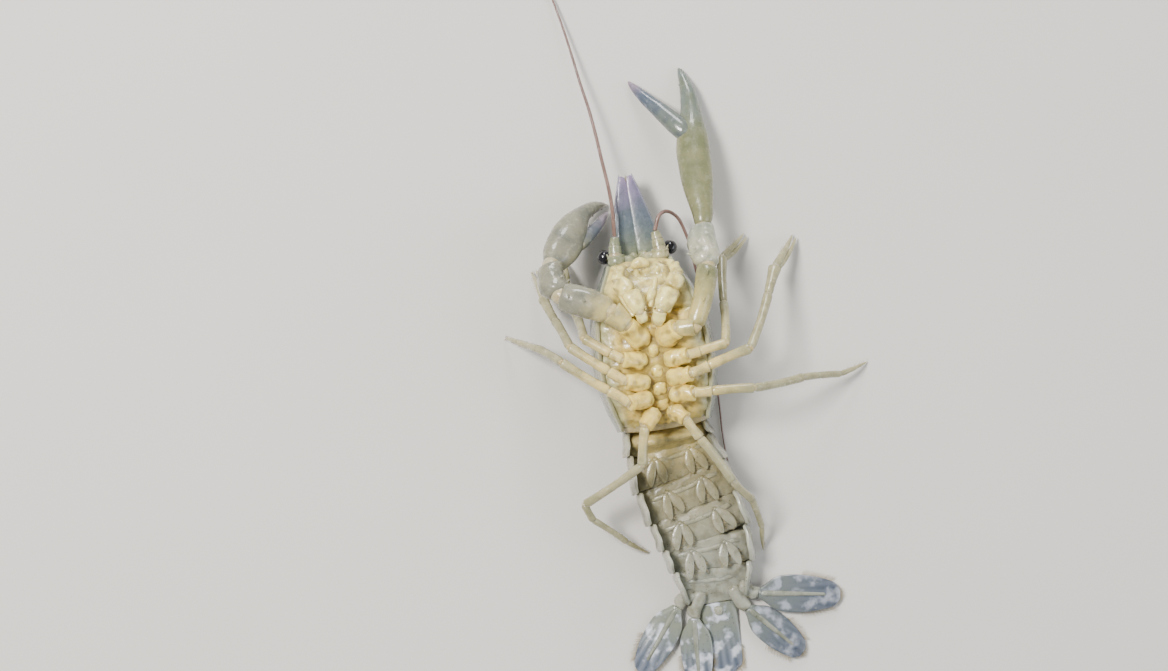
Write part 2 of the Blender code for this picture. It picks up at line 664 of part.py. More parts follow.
def tail_fan(parent):
    for name in BLADES:
        root, along, outward, length, width = blade_frame(name)

        def point(s, t):
            half = width / 2 * math.sin(math.pi * lerp(0.1, 0.86, s ** 0.8)) ** 0.75
            half = lerp(0.85, half, ease(s / 0.2))
            reach = length * s - 0.8 * s * t * t
            low = lerp(0.95, lerp(1.05, 0.0, (t + 1) / 2), ease(s / 0.35))
            thick = 0.52 + 0.35 * (1 - s) * (1 - t * t) + 0.3 * math.exp(-(t / 0.22) ** 2) * (1 - s)
            flat = root + along * reach + outward * (half * t)
            return [(flat.x, flat.y, low), (flat.x, flat.y, low + thick)]

        blade = plate("blade", 9, 8, point)
        finish(blade, name, "tail_fan", tuple(root), parent)

    start = sum(RING_LENGTHS) + GAP

    def telson_point(s, t):
        half = TELSON_WIDTH / 2 * (1 - 0.16 * s) * (1 - 0.75 * ease((s - 0.82) / 0.18) ** 2)
        reach = TELSON_LENGTH * s - 0.5 * s * t * t
        thick = 0.6 + 0.9 * (1 - ease(s / 0.5)) * (1 - 0.75 * t * t)
        flat = Vector(tail_point(start + reach, half * t, 0))
        return [(flat.x, flat.y, 0.0), (flat.x, flat.y, thick)]

    blade = plate("telson", 9, 8, telson_point)
    finish(blade, "telson", "tail_fan", tail_point(start, 0, 0), parent)


def centre_on_floor(parent):
    # the part's origin is the middle of its box, on the floor
    bpy.context.view_layer.update()
    corners = [piece.matrix_world @ vertex.co for piece in bpy.data.objects if piece.type == "MESH"
               for vertex in piece.data.vertices]
    low = [min(corner[axis] for corner in corners) for axis in range(3)]
    high = [max(corner[axis] for corner in corners) for axis in range(3)]
    parent.location = (-(low[0] + high[0]) / 2, -(low[1] + high[1]) / 2, -low[2])
    bpy.context.view_layer.update()


def build():
    for old in list(bpy.data.objects):
        bpy.data.objects.remove(old)
    parent = bpy.data.objects.new("crayfish", None)
    bpy.context.scene.collection.objects.link(parent)
    carapace(parent)
    coxae = legs(parent) + claws(parent)
    underside(parent, coxae)
    mouth(parent)
    head(parent)
    antennal_scales(parent)
    tail_rings(parent)
    tail_fan(parent)
    centre_on_floor(parent)


build()
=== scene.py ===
# Blue crayfish lying on its back: the looks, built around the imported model.
# Lengths and places in the settings are millimetres from the middle of the shell's hind edge:
# x to the animal's own left, y forwards, z up from the floor. mm turns them into metres.
import math
import random

import bpy
import numpy as np
from mathutils import Matrix, Vector, noise


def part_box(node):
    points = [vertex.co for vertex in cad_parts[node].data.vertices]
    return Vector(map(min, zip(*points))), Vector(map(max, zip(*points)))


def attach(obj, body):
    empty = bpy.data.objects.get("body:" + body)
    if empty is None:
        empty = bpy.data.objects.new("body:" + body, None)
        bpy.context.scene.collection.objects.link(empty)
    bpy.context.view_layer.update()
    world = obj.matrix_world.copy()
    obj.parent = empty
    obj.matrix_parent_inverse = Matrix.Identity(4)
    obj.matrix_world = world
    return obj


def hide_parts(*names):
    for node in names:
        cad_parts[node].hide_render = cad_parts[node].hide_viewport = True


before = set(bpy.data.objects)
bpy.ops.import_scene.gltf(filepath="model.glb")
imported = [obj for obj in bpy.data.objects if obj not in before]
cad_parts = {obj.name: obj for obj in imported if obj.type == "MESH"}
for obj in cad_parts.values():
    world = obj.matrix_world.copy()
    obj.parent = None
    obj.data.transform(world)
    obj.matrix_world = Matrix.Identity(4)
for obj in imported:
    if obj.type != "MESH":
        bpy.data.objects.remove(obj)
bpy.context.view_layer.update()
mm = 0.001
shellLow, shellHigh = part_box("carapace")
origin = Vector(((shellLow.x + shellHigh.x) / 2, shellLow.y, 0))
up = Vector((0, 0, 1))
print("crayfish: frame loaded,", len(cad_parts), "nodes")


# Small tools

ways = {"left": 1, "right": -1}
# half width inside the shell and the tail rings as a share of their own
insideShare = 0.87


def thorax(place):
    return origin + Vector(place) * mm


def sided(way, place):
    # a place given for the animal's left, on the left (1) or on the right (-1)
    x, y, z = place
    return Vector((way * x, y, z))


def mix(low, high, share):
    return low + (high - low) * share


def within(value, low=0.0, high=1.0):
    return min(max(value, low), high)


def ease(share):
    share = within(share)
    return share * share * (3 - 2 * share)


def evenly(count):
    # shares from 0 to 1 in that many steps
    return [number / count for number in range(count + 1)]


def deselectAll():
    bpy.ops.object.select_all(action="DESELECT")


def pick(piece):
    deselectAll()
    piece.select_set(True)
    bpy.context.view_layer.objects.active = piece


def editAll():
    bpy.ops.object.mode_set(mode="EDIT")
    bpy.ops.mesh.select_all(action="SELECT")


def extrudeBy(step):
    bpy.ops.mesh.extrude_region_move(TRANSFORM_OT_translate={"value": step})


def faceOutwards():
    # turns all faces outwards and leaves edit mode
    bpy.ops.mesh.select_all(action="SELECT")
    bpy.ops.mesh.normals_make_consistent(inside=False)
    bpy.ops.object.mode_set(mode="OBJECT")


def chooseVertices(piece, test):
    # opens edit mode with the vertices that pass the test selected
    pick(piece)
    for part in (*piece.data.polygons, *piece.data.edges):
        part.select = False
    for vertex in piece.data.vertices:
        vertex.select = test(vertex.co)
    bpy.ops.object.mode_set(mode="EDIT")
    bpy.ops.mesh.select_mode(type="VERT")


def turnBy(angle, centre):
    # with no window the operator turns the other way round
    bpy.ops.transform.rotate(value=-angle, orient_axis="Z", center_override=centre)


def applyModifier(piece, kind, **settings):
    pick(piece)
    step = piece.modifiers.new(kind.lower(), kind)
    for key, value in settings.items():
        setattr(step, key, value)
    bpy.ops.object.modifier_apply(modifier=step.name)


def roundOff(piece, levels):
    applyModifier(piece, "SUBSURF", levels=levels, render_levels=levels)


def joinPieces(name, pieces):
    deselectAll()
    for piece in pieces:
        piece.select_set(True)
    bpy.context.view_layer.objects.active = pieces[0]
    if len(pieces) > 1:
        bpy.ops.object.join()
    pieces[0].name = name
    return pieces[0]


def paint(finishName, *pieces):
    for piece in pieces:
        piece.data.materials.clear()
        piece.data.materials.append(materials[finishName])
    return pieces[0]


def handIn(name, parts, slotName, *nodes):
    # joins and smooths the parts, hangs them on the root body and hides the frame's nodes that they stand for
    piece = joinPieces(name, parts)
    pick(piece)
    bpy.ops.object.shade_smooth_by_angle(angle=math.radians(50))
    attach(piece, "root")
    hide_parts(*nodes)


def drawRing(name, sides, size, fill, turn):
    # a circle of that radius in millimetres, its turn applied
    deselectAll()
    bpy.ops.mesh.primitive_circle_add(vertices=sides, radius=size * mm, fill_type=fill, rotation=turn)
    piece = bpy.context.object
    piece.name = name
    bpy.ops.object.transform_apply(location=False, rotation=True, scale=False)
    return piece


def growLimb(name, stations, sides=14, smooth=2, roll=0.0, square=1.0):
    # a disc is drawn at the first station, extruded and resized from each to the next along y,
    # and the limb is then laid from its first place to its last, rolled about that line and
    # subdivided; a square below 1 flattens the four sides of its section
    start, end = thorax(stations[0][0]), thorax(stations[-1][0])
    along = (end - start).normalized()
    across = Matrix.Rotation(roll, 3, along) @ along.cross(up).normalized()
    lie = Matrix((across, along, across.cross(along))).transposed()
    centres = [lie.inverted() @ (thorax(place) - start) for place, wide, thick in stations]
    piece = drawRing(name, sides, 1, "NGON", (math.pi / 2, 0, 0))
    for vertex in piece.data.vertices:
        vertex.co = [math.copysign(abs(value / mm) ** square, value) * mm for value in vertex.co]
    editAll()
    wideNow, thickNow = 1.0, 1.0
    for number, (place, wide, thick) in enumerate(stations):
        if number:
            extrudeBy(centres[number] - centres[number - 1])
        bpy.ops.transform.resize(value=(wide / wideNow, 1, thick / thickNow), center_override=centres[number])
        wideNow, thickNow = wide, thick
    faceOutwards()
    piece.matrix_world = Matrix.Translation(start) @ lie.to_4x4()
    bpy.ops.object.transform_apply(location=True, rotation=True, scale=True)
    roundOff(piece, smooth)
    return piece


def growArch(name, stations, sides):
    # the open arch of an upturned shell is drawn once, then extruded, turned and resized from each
    # station to the next: middle (x, y), turn, half width, height of the back, height of the rims
    piece = drawRing(name, sides, 1, "NOTHING", (math.pi / 2, 0, 0))
    chooseVertices(piece, lambda co: co.z > 0.51 * mm)
    bpy.ops.mesh.delete(type="VERT")
    bpy.ops.object.mode_set(mode="OBJECT")
    chooseVertices(piece, lambda co: co.z > 0.01 * mm)
    bpy.ops.transform.resize(value=(1, 1, 2), center_override=(0, 0, 0))
    bpy.ops.mesh.select_all(action="SELECT")
    before, wideNow, highNow, turnNow = Vector((0, 0, 0)), 1.0, 1.0, 0.0
    for number, (middle, turn, wide, back, rim) in enumerate(stations):
        centre = thorax((middle[0], middle[1], (back + rim) / 2))
        half = (rim - back) / 2
        if number:
            extrudeBy(centre - before)
            turnBy(-turnNow, centre)
        else:
            bpy.ops.transform.translate(value=centre)
        bpy.ops.transform.resize(value=(wide / wideNow, 1, half / highNow), center_override=centre)
        turnBy(turn, centre)
        before, wideNow, highNow, turnNow = centre, wide, half, turn
    faceOutwards()
    lowest = min(piece.data.polygons, key=lambda face: face.center.z)
    if lowest.normal.z > 0:
        piece.data.flip_normals()
    roundOff(piece, 2)
    return piece


def layFlat(piece):
    # nothing goes below the floor
    for vertex in piece.data.vertices:
        vertex.co.z = max(vertex.co.z, 0.0)


def thicken(piece, look):
    # gives a shell its wall on the inner side, with softened rims
    applyModifier(piece, "SOLIDIFY", thickness=look["wall"] * mm, offset=-1, use_even_offset=True)
    applyModifier(piece, "BEVEL", width=look["soft"] * mm, segments=2, limit_method="ANGLE",
                  angle_limit=math.radians(50))


def mark(piece, layer, measure):
    # adds a share from 0 to 1 at every vertex, which the finishes read
    if layer not in piece.data.attributes:
        piece.data.attributes.new(layer, "FLOAT", "POINT")
    values = [measure(vertex.co) for vertex in piece.data.vertices]
    for value, held in zip(values, piece.data.attributes[layer].data):
        held.value = within(held.value + value)
    return piece


def knead(piece, amount, grain, seed, deep=1.0):
    # small uneven swellings, moved along the normals, with their hollows marked as deep for painted shade
    shift = Vector((seed, seed * 0.7, -seed))
    mark(piece, "deep", lambda co: -2.2 * deep * noise.noise(co / (grain * mm) + shift) - 0.25)
    normals = [vertex.normal.copy() for vertex in piece.data.vertices]
    for vertex, normal in zip(piece.data.vertices, normals):
        vertex.co += normal * (amount * mm * noise.noise(vertex.co / (grain * mm) + shift))
    return piece


def shadeLow(piece):
    # marks the lower part of a form as deep: painted shade, darkest at its foot
    share, strength = 0.6, 0.7
    heights = [vertex.co.z for vertex in piece.data.vertices]
    low, reach = min(heights), (max(heights) - min(heights)) * share
    return mark(piece, "deep", lambda co: strength * (1 - (co.z - low) / reach))


def article(name, start, end, startWide, endWide, shape, flat=0.9, bow=0.0, sway=0.0, sides=14):
    # one hard length of a limb, straight or slightly bowed upwards and to the side
    start, end = Vector(start), Vector(end)
    aside = (end - start).cross(up) * sway
    stations = []
    for share, factor in shape:
        here = start.lerp(end, share) + (up * bow + aside) * math.sin(math.pi * within(share))
        wide = mix(startWide, endWide, share) * factor
        stations.append((here, wide, wide * flat))
    return growLimb(name, stations, sides)


def lineAt(line, share):
    # place, half width and half thickness between two stations of a line
    index = min(int(share), len(line) - 2)
    low, high, part = line[index], line[index + 1], share - index
    return Vector(low[0]).lerp(Vector(high[0]), part), mix(low[1], high[1], part), mix(low[2], high[2], part)


def lineArticle(name, line, first, last, shape, sides=16):
    # one hard length that follows a line from one of its stations to another
    stations = []
    for share, factor in shape:
        place, wide, thick = lineAt(line, mix(first, last, share))
        stations.append((place, wide * factor, thick * factor))
    return growLimb(name, stations, sides)


def lump(name, place, rows, wide=1.0, thick=1.0, sides=14):
    # a small swelling along y; its rows are ahead, up, half width and half thickness
    x, y, z = place
    return growLimb(name, [((x, y + ahead, z + rise), wide * across, thick * deep)
                           for ahead, rise, across, deep in rows], sides)


# Shader tools

def tone(red, green, blue):
    # a colour as seen, 0 to 255, in the numbers that shaders take
    return (*[((value / 255 + 0.055) / 1.055) ** 2.4 for value in (red, green, blue)], 1.0)


class Value:
    # a shader socket, whose sums and products add Math nodes
    def __init__(self, finish, socket):
        self.finish = finish
        self.socket = socket

    def maths(self, operation, first, second):
        return self.finish.node("ShaderNodeMath", {"operation": operation}, {0: first, 1: second})

    def __add__(self, other):
        return self.maths("ADD", self, other)

    __radd__ = __add__

    def __sub__(self, other):
        return self.maths("SUBTRACT", self, other)

    def __rsub__(self, other):
        return self.maths("SUBTRACT", other, self)

    def __mul__(self, other):
        return self.maths("MULTIPLY", self, other)

    __rmul__ = __mul__


class Finish:
    # one material, built from node calls
    def __init__(self, name):
        self.material = bpy.data.materials.new(name)
        self.material.use_nodes = True
        self.tree = self.material.node_tree
        self.tree.nodes.clear()

    def node(self, kind, settings, sockets, output=0):
        made = self.tree.nodes.new(kind)
        for key, value in settings.items():
            setattr(made, key, value)
        for key, value in sockets.items():
            if isinstance(value, Value):
                self.tree.links.new(value.socket, made.inputs[key])
            else:
                made.inputs[key].default_value = value
        return Value(self, made.outputs[output]) if len(made.outputs) else None

    def place(self):
        return self.node("ShaderNodeTexCoord", {}, {}, "Object")

    def grain(self, size, detail):
        # soft noise from 0 to 1, with features of about that size in millimetres
        return self.node("ShaderNodeTexNoise", {},
                         {"Vector": self.place(), "Scale": 1 / (size * mm), "Detail": detail})

    def marks(self, layer):
        return self.node("ShaderNodeAttribute", {"attribute_name": layer}, {}, "Fac")

    def cells(self, size):
        # distance from the middle of scattered cells
        return self.node("ShaderNodeTexVoronoi", {}, {"Vector": self.place(), "Scale": 1 / (size * mm)})

    def band(self, value, low, high):
        # eases from 0 at low to 1 at high
        return self.node("ShaderNodeMapRange", {"interpolation_type": "SMOOTHSTEP"},
                         {"Value": value, "From Min": low, "From Max": high})

    def away(self, point):
        # distance in millimetres from a point of the thorax frame
        far = self.node("ShaderNodeVectorMath", {"operation": "DISTANCE"},
                        {0: self.place(), 1: thorax(point)}, "Value")
        return far * (1 / mm)

    def axis(self, name):
        # a thorax frame coordinate in millimetres
        number = "XYZ".index(name)
        part = self.node("ShaderNodeSeparateXYZ", {}, {0: self.place()}, number)
        return (part - origin[number]) * (1 / mm)

    def colour(self, share, first, second):
        return self.node("ShaderNodeMix", {"data_type": "RGBA"}, {0: share, 6: first, 7: second}, 2)

    def bump(self, height, strength, depth, below=None):
        sockets = {"Height": height, "Strength": strength, "Distance": depth * mm}
        if below:
            sockets["Normal"] = below
        return self.node("ShaderNodeBump", {}, sockets)

    def wet(self, look, sockets):
        # a wet, slightly see-into shell; what varies over the surface comes in sockets
        look = {"milk": 0.25, "depth": 1.2, "coat": 0.8, "film": 0.05, **look}
        fixed = {
            "Subsurface Weight": look["milk"], "Subsurface Radius": (0.9, 0.75, 0.45),
            "Subsurface Scale": look["depth"] * mm, "IOR": 1.45,
            "Coat Weight": look["coat"], "Coat Roughness": look["film"], "Coat IOR": 1.38,
        }
        shader = self.node("ShaderNodeBsdfPrincipled", {}, {**fixed, **sockets})
        self.node("ShaderNodeOutputMaterial", {}, {"Surface": shader})
        return self.material


# Finishes

# What a look below doesn't say: size and strength of the cloudy patches, strength of the pale ones,
# of the painted shade in the marked hollows and of the flecks, roughness and swelling
plainLook = {"cloud": 2.2, "cloudy": 0.6, "milky": 0.4, "deepness": 0.6, "flecked": 0.5, "rough": 0.24, "swell": 0.12}


def shellFinish(name, look):
    # hard shell: a colour that changes away from the mouth, cloudy patches, painted shade where it is marked deep,
    # flecks and fine pits
    finish, look = Finish(name), {**plainLook, **look}
    base = tone(*look["near"])
    away = finish.away(look["from"])
    layers = [(finish.band(away, *look["reach"]), "far")]
    if "tip" in look:
        layers.append((finish.band(away, *look["tipReach"]), "tip"))
    if "flank" in look:
        aside = finish.node("ShaderNodeMath", {"operation": "ABSOLUTE"}, {0: finish.axis("X")})
        layers.append((finish.band(aside, *look["flankFrom"]), "flank"))
    fleck = finish.band(finish.cells(0.55), 0.24, 0.10) * finish.band(finish.grain(3.1, 2), 0.46, 0.62)
    layers += [
        (finish.band(finish.grain(look["cloud"], 4), 0.42, 0.72) * look["cloudy"], "shade"),
        (finish.band(finish.grain(look["cloud"] * 0.45, 3), 0.55, 0.8) * look["milky"], "light"),
        # painted shade where pieces are marked deep (a piece marked deep all over is only darker); pale marks are rims
        # in their own colour
        (finish.marks("deep") * look["deepness"], "shade"), (finish.marks("pale") * 0.7, "light"),
        (fleck * look["flecked"], "fleck")]
    for share, shade in layers:
        base = finish.colour(share, base, tone(*look[shade]))
    rough = look["rough"] + 0.16 * finish.grain(0.7, 3)
    pits = finish.bump(finish.grain(0.16, 2), 0.25, 0.05)
    swell = finish.bump(finish.grain(0.9, 3), 0.5, look["swell"], pits)
    return finish.wet(look, {"Base Color": base, "Roughness": rough, "Normal": swell})


looks = {
    "thoraxShell": {
        "from": (0, 10, 13), "reach": (5, 13), "near": (168, 160, 122), "far": (94, 106, 92),
        "shade": (70, 82, 72), "light": (186, 184, 148), "fleck": (48, 62, 60), "flecked": 0.55,
        "cloud": 2.6, "rough": 0.2},
    "cream": {
        "from": (0, 11, 14), "reach": (3, 11), "near": (250, 220, 112), "far": (234, 202, 102),
        "flank": (190, 186, 138), "flankFrom": (4.2, 6.6),
        "shade": (120, 98, 44), "light": (252, 234, 164), "fleck": (128, 102, 54), "flecked": 0.25,
        "cloud": 1.5, "cloudy": 0.45, "milky": 0.55, "milk": 0.3, "swell": 0.34, "deepness": 0.85},
    "mouthShell": {
        "from": (0, 18, 14), "reach": (2, 8), "near": (255, 236, 148), "far": (242, 222, 136),
        "flank": (206, 200, 150), "flankFrom": (4.4, 6.2),
        "shade": (120, 102, 50), "light": (254, 246, 202), "fleck": (140, 114, 64), "flecked": 0.2,
        "cloud": 1.3, "milk": 0.3, "rough": 0.22, "swell": 0.26},
    "leg": {
        "from": (0, 8, 14), "reach": (6, 15), "near": (226, 202, 128), "far": (166, 160, 124),
        "shade": (122, 120, 84), "light": (222, 218, 190), "fleck": (88, 96, 70), "flecked": 0.35,
        "cloud": 1.4, "milk": 0.3, "rough": 0.18},
    "clawLeft": {
        "from": (3.5, 13, 15), "reach": (1, 12), "near": (214, 194, 122), "far": (128, 128, 92),
        "tip": (112, 122, 116), "tipReach": (28.5, 35.5),
        "shade": (96, 102, 72), "light": (172, 174, 146), "fleck": (84, 92, 62), "flecked": 0.4,
        "cloud": 2.4, "rough": 0.18},
    # whitish wrist, its strong pale patches partly its own colour and partly painted wet highlights
    "clawWrist": {
        "from": (9, 24, 14), "reach": (1, 5), "near": (188, 184, 158), "far": (152, 156, 138),
        "shade": (112, 120, 104), "light": (230, 228, 216), "milky": 0.7, "fleck": (96, 108, 96), "flecked": 0.3,
        "cloud": 1.2, "milk": 0.3, "rough": 0.14},
    "clawRight": {
        "from": (-4, 16, 14.5), "reach": (1, 7), "near": (214, 194, 120), "far": (136, 134, 114),
        "shade": (92, 96, 88), "light": (198, 194, 176), "fleck": (86, 90, 82), "flecked": 0.4,
        "cloud": 2.0, "rough": 0.18},
    "clawRightTip": {
        "from": (-8, 27, 8), "reach": (1, 4), "near": (122, 124, 112), "far": (98, 104, 114),
        "tip": (144, 128, 142), "tipReach": (4, 8),
        "shade": (70, 78, 88), "light": (172, 172, 182), "fleck": (64, 72, 88), "flecked": 0.3,
        "cloud": 1.5, "milk": 0.2, "rough": 0.14},
    "clawLeftTip": {
        "from": (8, 41, 4), "reach": (1, 9), "near": (106, 114, 102), "far": (86, 98, 116),
        "tip": (152, 132, 146), "tipReach": (7, 11),
        "shade": (70, 80, 94), "light": (172, 172, 184), "fleck": (64, 72, 92), "flecked": 0.3,
        "cloud": 1.5, "milk": 0.2, "rough": 0.14},
    "scaleBlue": {
        "from": (0, 23, 6), "reach": (1, 7), "near": (118, 124, 96), "far": (86, 98, 106),
        "tip": (130, 116, 146), "tipReach": (6.5, 12.5),
        "shade": (74, 88, 90), "light": (152, 152, 158), "milky": 0.3, "fleck": (66, 82, 84), "flecked": 0.35,
        "cloud": 1.9, "milk": 0.2, "rough": 0.2, "coat": 0.35},
    "feelerRoot": {
        "from": (4, 24, 8), "reach": (1, 7), "near": (184, 176, 134), "far": (138, 142, 112),
        "shade": (100, 106, 78), "light": (206, 204, 182), "fleck": (90, 98, 76), "flecked": 0.3,
        "cloud": 1.1, "milk": 0.3, "rough": 0.16},
    "feeler": {
        "from": (-3, 27, 7), "reach": (4, 26), "near": (134, 104, 92), "far": (116, 88, 84),
        "shade": (92, 66, 60), "light": (186, 158, 146), "fleck": (72, 50, 46), "flecked": 0.3,
        "cloud": 1.2, "milk": 0.15, "rough": 0.22},
    "tailShell": {
        "from": (1, -2, 8), "reach": (2, 20), "near": (140, 132, 96), "far": (142, 144, 130),
        "shade": (88, 92, 70), "light": (198, 198, 180), "fleck": (50, 62, 34), "flecked": 0.75,
        "cloud": 1.7, "rough": 0.16},
    "tailFlesh": {
        "from": (0.5, 1, 7), "reach": (3, 9), "near": (206, 184, 112), "far": (146, 136, 98),
        "tip": (162, 162, 146), "tipReach": (8, 24),
        "shade": (104, 100, 72), "light": (194, 192, 168), "fleck": (56, 70, 34), "flecked": 0.7,
        "cloud": 1.3, "cloudy": 0.55, "milky": 0.45, "milk": 0.35, "swell": 0.18, "deepness": 0.5, "coat": 0.5},
    "membrane": {
        "from": (0, 10, 12), "reach": (8, 24), "near": (206, 184, 124), "far": (170, 164, 138),
        "shade": (150, 128, 84), "light": (226, 218, 192), "fleck": (164, 140, 100), "flecked": 0.1,
        "cloud": 0.8, "milk": 0.4, "rough": 0.28},
}


def eyeFinish():
    # glossy black cornea, faintly faceted, on a grey rim
    finish = Finish("eyeBlack")
    facets = finish.band(finish.cells(0.11), 0.1, 0.6)
    base = finish.colour(finish.grain(0.6, 2), tone(16, 15, 20), tone(34, 32, 40))
    net = finish.bump(facets, 0.3, 0.02)
    return finish.wet({"milk": 0.0, "coat": 1.0, "film": 0.02},
                      {"Base Color": base, "Roughness": 0.06 + 0.08 * facets, "Normal": net})


def bladeFinish():
    # thin tail blades: blue grey, ribbed from root to rim, clearer towards the rim, with painted white glints of a wet
    # film
    finish = Finish("tailBlade")
    spot = finish.node("ShaderNodeUVMap", {"uv_map": "bladeMap"}, {})
    along, across = [finish.node("ShaderNodeSeparateXYZ", {}, {0: spot}, number) for number in (0, 1)]
    ribs = finish.node("ShaderNodeMath", {"operation": "SINE"}, {0: across * 78}) * 0.5 + 0.5
    cloud = finish.grain(1.9, 4)
    fleck = finish.band(finish.cells(0.5), 0.26, 0.12) * finish.band(finish.grain(2.4, 2), 0.44, 0.6)
    base = tone(136, 141, 124)
    for share, colour in (
            (finish.band(along, 0.1, 0.95), (90, 101, 119)), (finish.band(cloud, 0.42, 0.7) * 0.75, (74, 86, 98)),
            # the soft white patches are painted highlights of the wet film
            (finish.band(finish.grain(1.9, 2), 0.5, 0.69) * 0.85, (226, 230, 238)), (fleck * 0.6, (56, 72, 84)),
            (ribs * finish.band(along, 0.3, 0.8) * 0.35, (176, 182, 196)),
            (finish.band(finish.axis("X"), 3.0, 11.0) * 0.55, (74, 82, 96))):
        base = finish.colour(share, base, tone(*colour))
    pits = finish.bump(finish.grain(0.2, 2), 0.25, 0.05)
    ridged = finish.bump(ribs * finish.band(along, 0.25, 0.7), 0.6, 0.07, pits)
    clear = 1 - 0.42 * finish.band(along, 0.35, 1.0) * finish.band(cloud, 0.75, 0.35)
    return finish.wet({"depth": 0.6, "coat": 0.9}, {
        "Base Color": base, "Roughness": 0.16 + 0.14 * cloud, "Normal": ridged, "Alpha": clear})


def hairFinish():
    finish = Finish("hair")
    base = finish.colour(finish.grain(1.1, 2), tone(176, 158, 112), tone(138, 126, 96))
    return finish.wet({"milk": 0.1, "coat": 0.3, "film": 0.2},
                      {"Base Color": base, "Roughness": 0.4 + 0.2 * finish.grain(0.5, 2)})


materials = {name: shellFinish(name, look) for name, look in looks.items()}
materials.update(eye=eyeFinish(), blade=bladeFinish(), hair=hairFinish())
print("crayfish: finishes ready")


# Floor, camera and light

stageLook = {
    "middle": (-9.43, 14.44), "level": 8.0, "roll": -9.0, "seenWide": 166.86, "distance": 500.0, "sensor": 36.0,
    "floor": (214, 210, 203), "sky": (0.86, 0.9, 0.95, 1), "skyPower": 0.4}


def setStage():
    look = stageLook
    deselectAll()
    bpy.ops.mesh.primitive_plane_add(size=4, location=(0, 0, 0))
    floor = bpy.context.object
    floor.name = "paleFloor"
    finish = Finish("paleFloor")
    base = finish.colour(finish.grain(30, 2), tone(*look["floor"]), tone(*[value + 5 for value in look["floor"]]))
    materials["paleFloor"] = finish.wet({"milk": 0.0, "coat": 0.0}, {"Base Color": base, "Roughness": 0.7})
    paint("paleFloor", floor)
    camera = bpy.data.objects.new("camera", bpy.data.cameras.new("camera"))
    bpy.context.scene.collection.objects.link(camera)
    camera.data.sensor_width = look["sensor"]
    camera.data.lens = look["sensor"] * look["distance"] / look["seenWide"]
    camera.data.clip_start = 0.01
    camera.data.clip_end = 10
    camera.location = thorax((*look["middle"], look["level"] + look["distance"]))
    camera.rotation_euler = (0, 0, math.radians(look["roll"]))
    bpy.context.scene.camera = camera


lights = (
    # name, place, size, power, colour
    ("keyLight", (-0.22, 0.15, 0.48), 0.14, 4.6, (1.0, 0.97, 0.93)),
    ("fillLight", (0.44, -0.12, 0.34), 0.4, 1.5, (0.9, 0.95, 1.0)),
    ("backLight", (0.08, 0.5, 0.24), 0.16, 1.6, (1.0, 1.0, 1.0)),
)


def setLights():
    for name, place, size, power, colour in lights:
        light = bpy.data.lights.new(name, "AREA")
        light.size = size
        light.energy = power
        light.color = colour
        holder = bpy.data.objects.new(name, light)
        bpy.context.scene.collection.objects.link(holder)
        holder.location = place
        holder.rotation_euler = (-Vector(place)).to_track_quat("-Z", "Y").to_euler()
    world = bpy.data.worlds.new("soft")
    world.use_nodes = True
    sky = world.node_tree.nodes["Background"].inputs
    sky["Color"].default_value, sky["Strength"].default_value = stageLook["sky"], stageLook["skyPower"]
    bpy.context.scene.world = world


setStage()
setLights()
print("crayfish: stage set")


# Thorax shell with the beak

shell = {
    # y, half width, height of the back, height of the rims
    "rows": ((0.0, 6.8, 0.5, 9.2), (3.0, 8.0, 0.0, 11.2), (8.0, 8.9, 0.0, 12.5), (14.0, 8.7, 0.0, 12.8),
             (18.0, 7.8, 0.1, 12.1), (21.0, 6.4, 0.5, 10.6), (23.6, 4.9, 1.1, 8.9)),
    "steps": 20, "wall": 0.5, "soft": 0.12,
    "groove": {"back": 15.0, "side": 19.5, "deep": 0.4, "wide": 0.8},
    "heartLines": {"x": 1.5, "deep": 0.16, "wide": 0.35, "until": 13.5},
    "rimBead": 0.22, "endBead": 0.12,
    "beak": (((0, 21.2, 2.6), 1.2, 0.8), ((0, 23.8, 2.4), 2.3, 1.05), ((0, 27.0, 2.0), 1.9, 0.85),
             ((0, 31.0, 1.8), 1.3, 0.62), ((0, 34.0, 1.7), 0.72, 0.4), ((0, 35.3, 1.7), 0.12, 0.12)),
    "beakTeeth": ((29.4, 1.45), (31.6, 1.05), (33.4, 0.75)),
    # of a beak tooth: steps out and ahead, height, half width, half height
    "toothRows": ((0.0, -0.5, 1.78, 0.42, 0.3), (0.1, 0.1, 1.74, 0.34, 0.26), (0.5, 0.6, 1.66, 0.2, 0.17),
                  (0.75, 1.0, 1.6, 0.05, 0.05)),
}
shellLong = shell["rows"][-1][0]


def rowValue(rows, place, column):
    # a smooth curve through the rows
    last = len(rows) - 1
    index = max(number for number in range(last) if number == 0 or rows[number][0] <= place)

    def slope(at):
        low, high = max(at - 1, 0), min(at + 1, last)
        return (rows[high][column] - rows[low][column]) / (rows[high][0] - rows[low][0])

    span = rows[index + 1][0] - rows[index][0]
    t = (place - rows[index][0]) / span
    bend = slope(index) * span * t * (1 - t) ** 2 - slope(index + 1) * span * t * t * (1 - t)
    return mix(rows[index][column], rows[index + 1][column], ease(t)) + bend


def shellAt(y):
    # half width, height of the back and height of the rims
    wide, back, rim = [rowValue(shell["rows"], within(y, 0, shellLong), column) for column in (1, 2, 3)]
    return wide, max(back, 0.0), rim


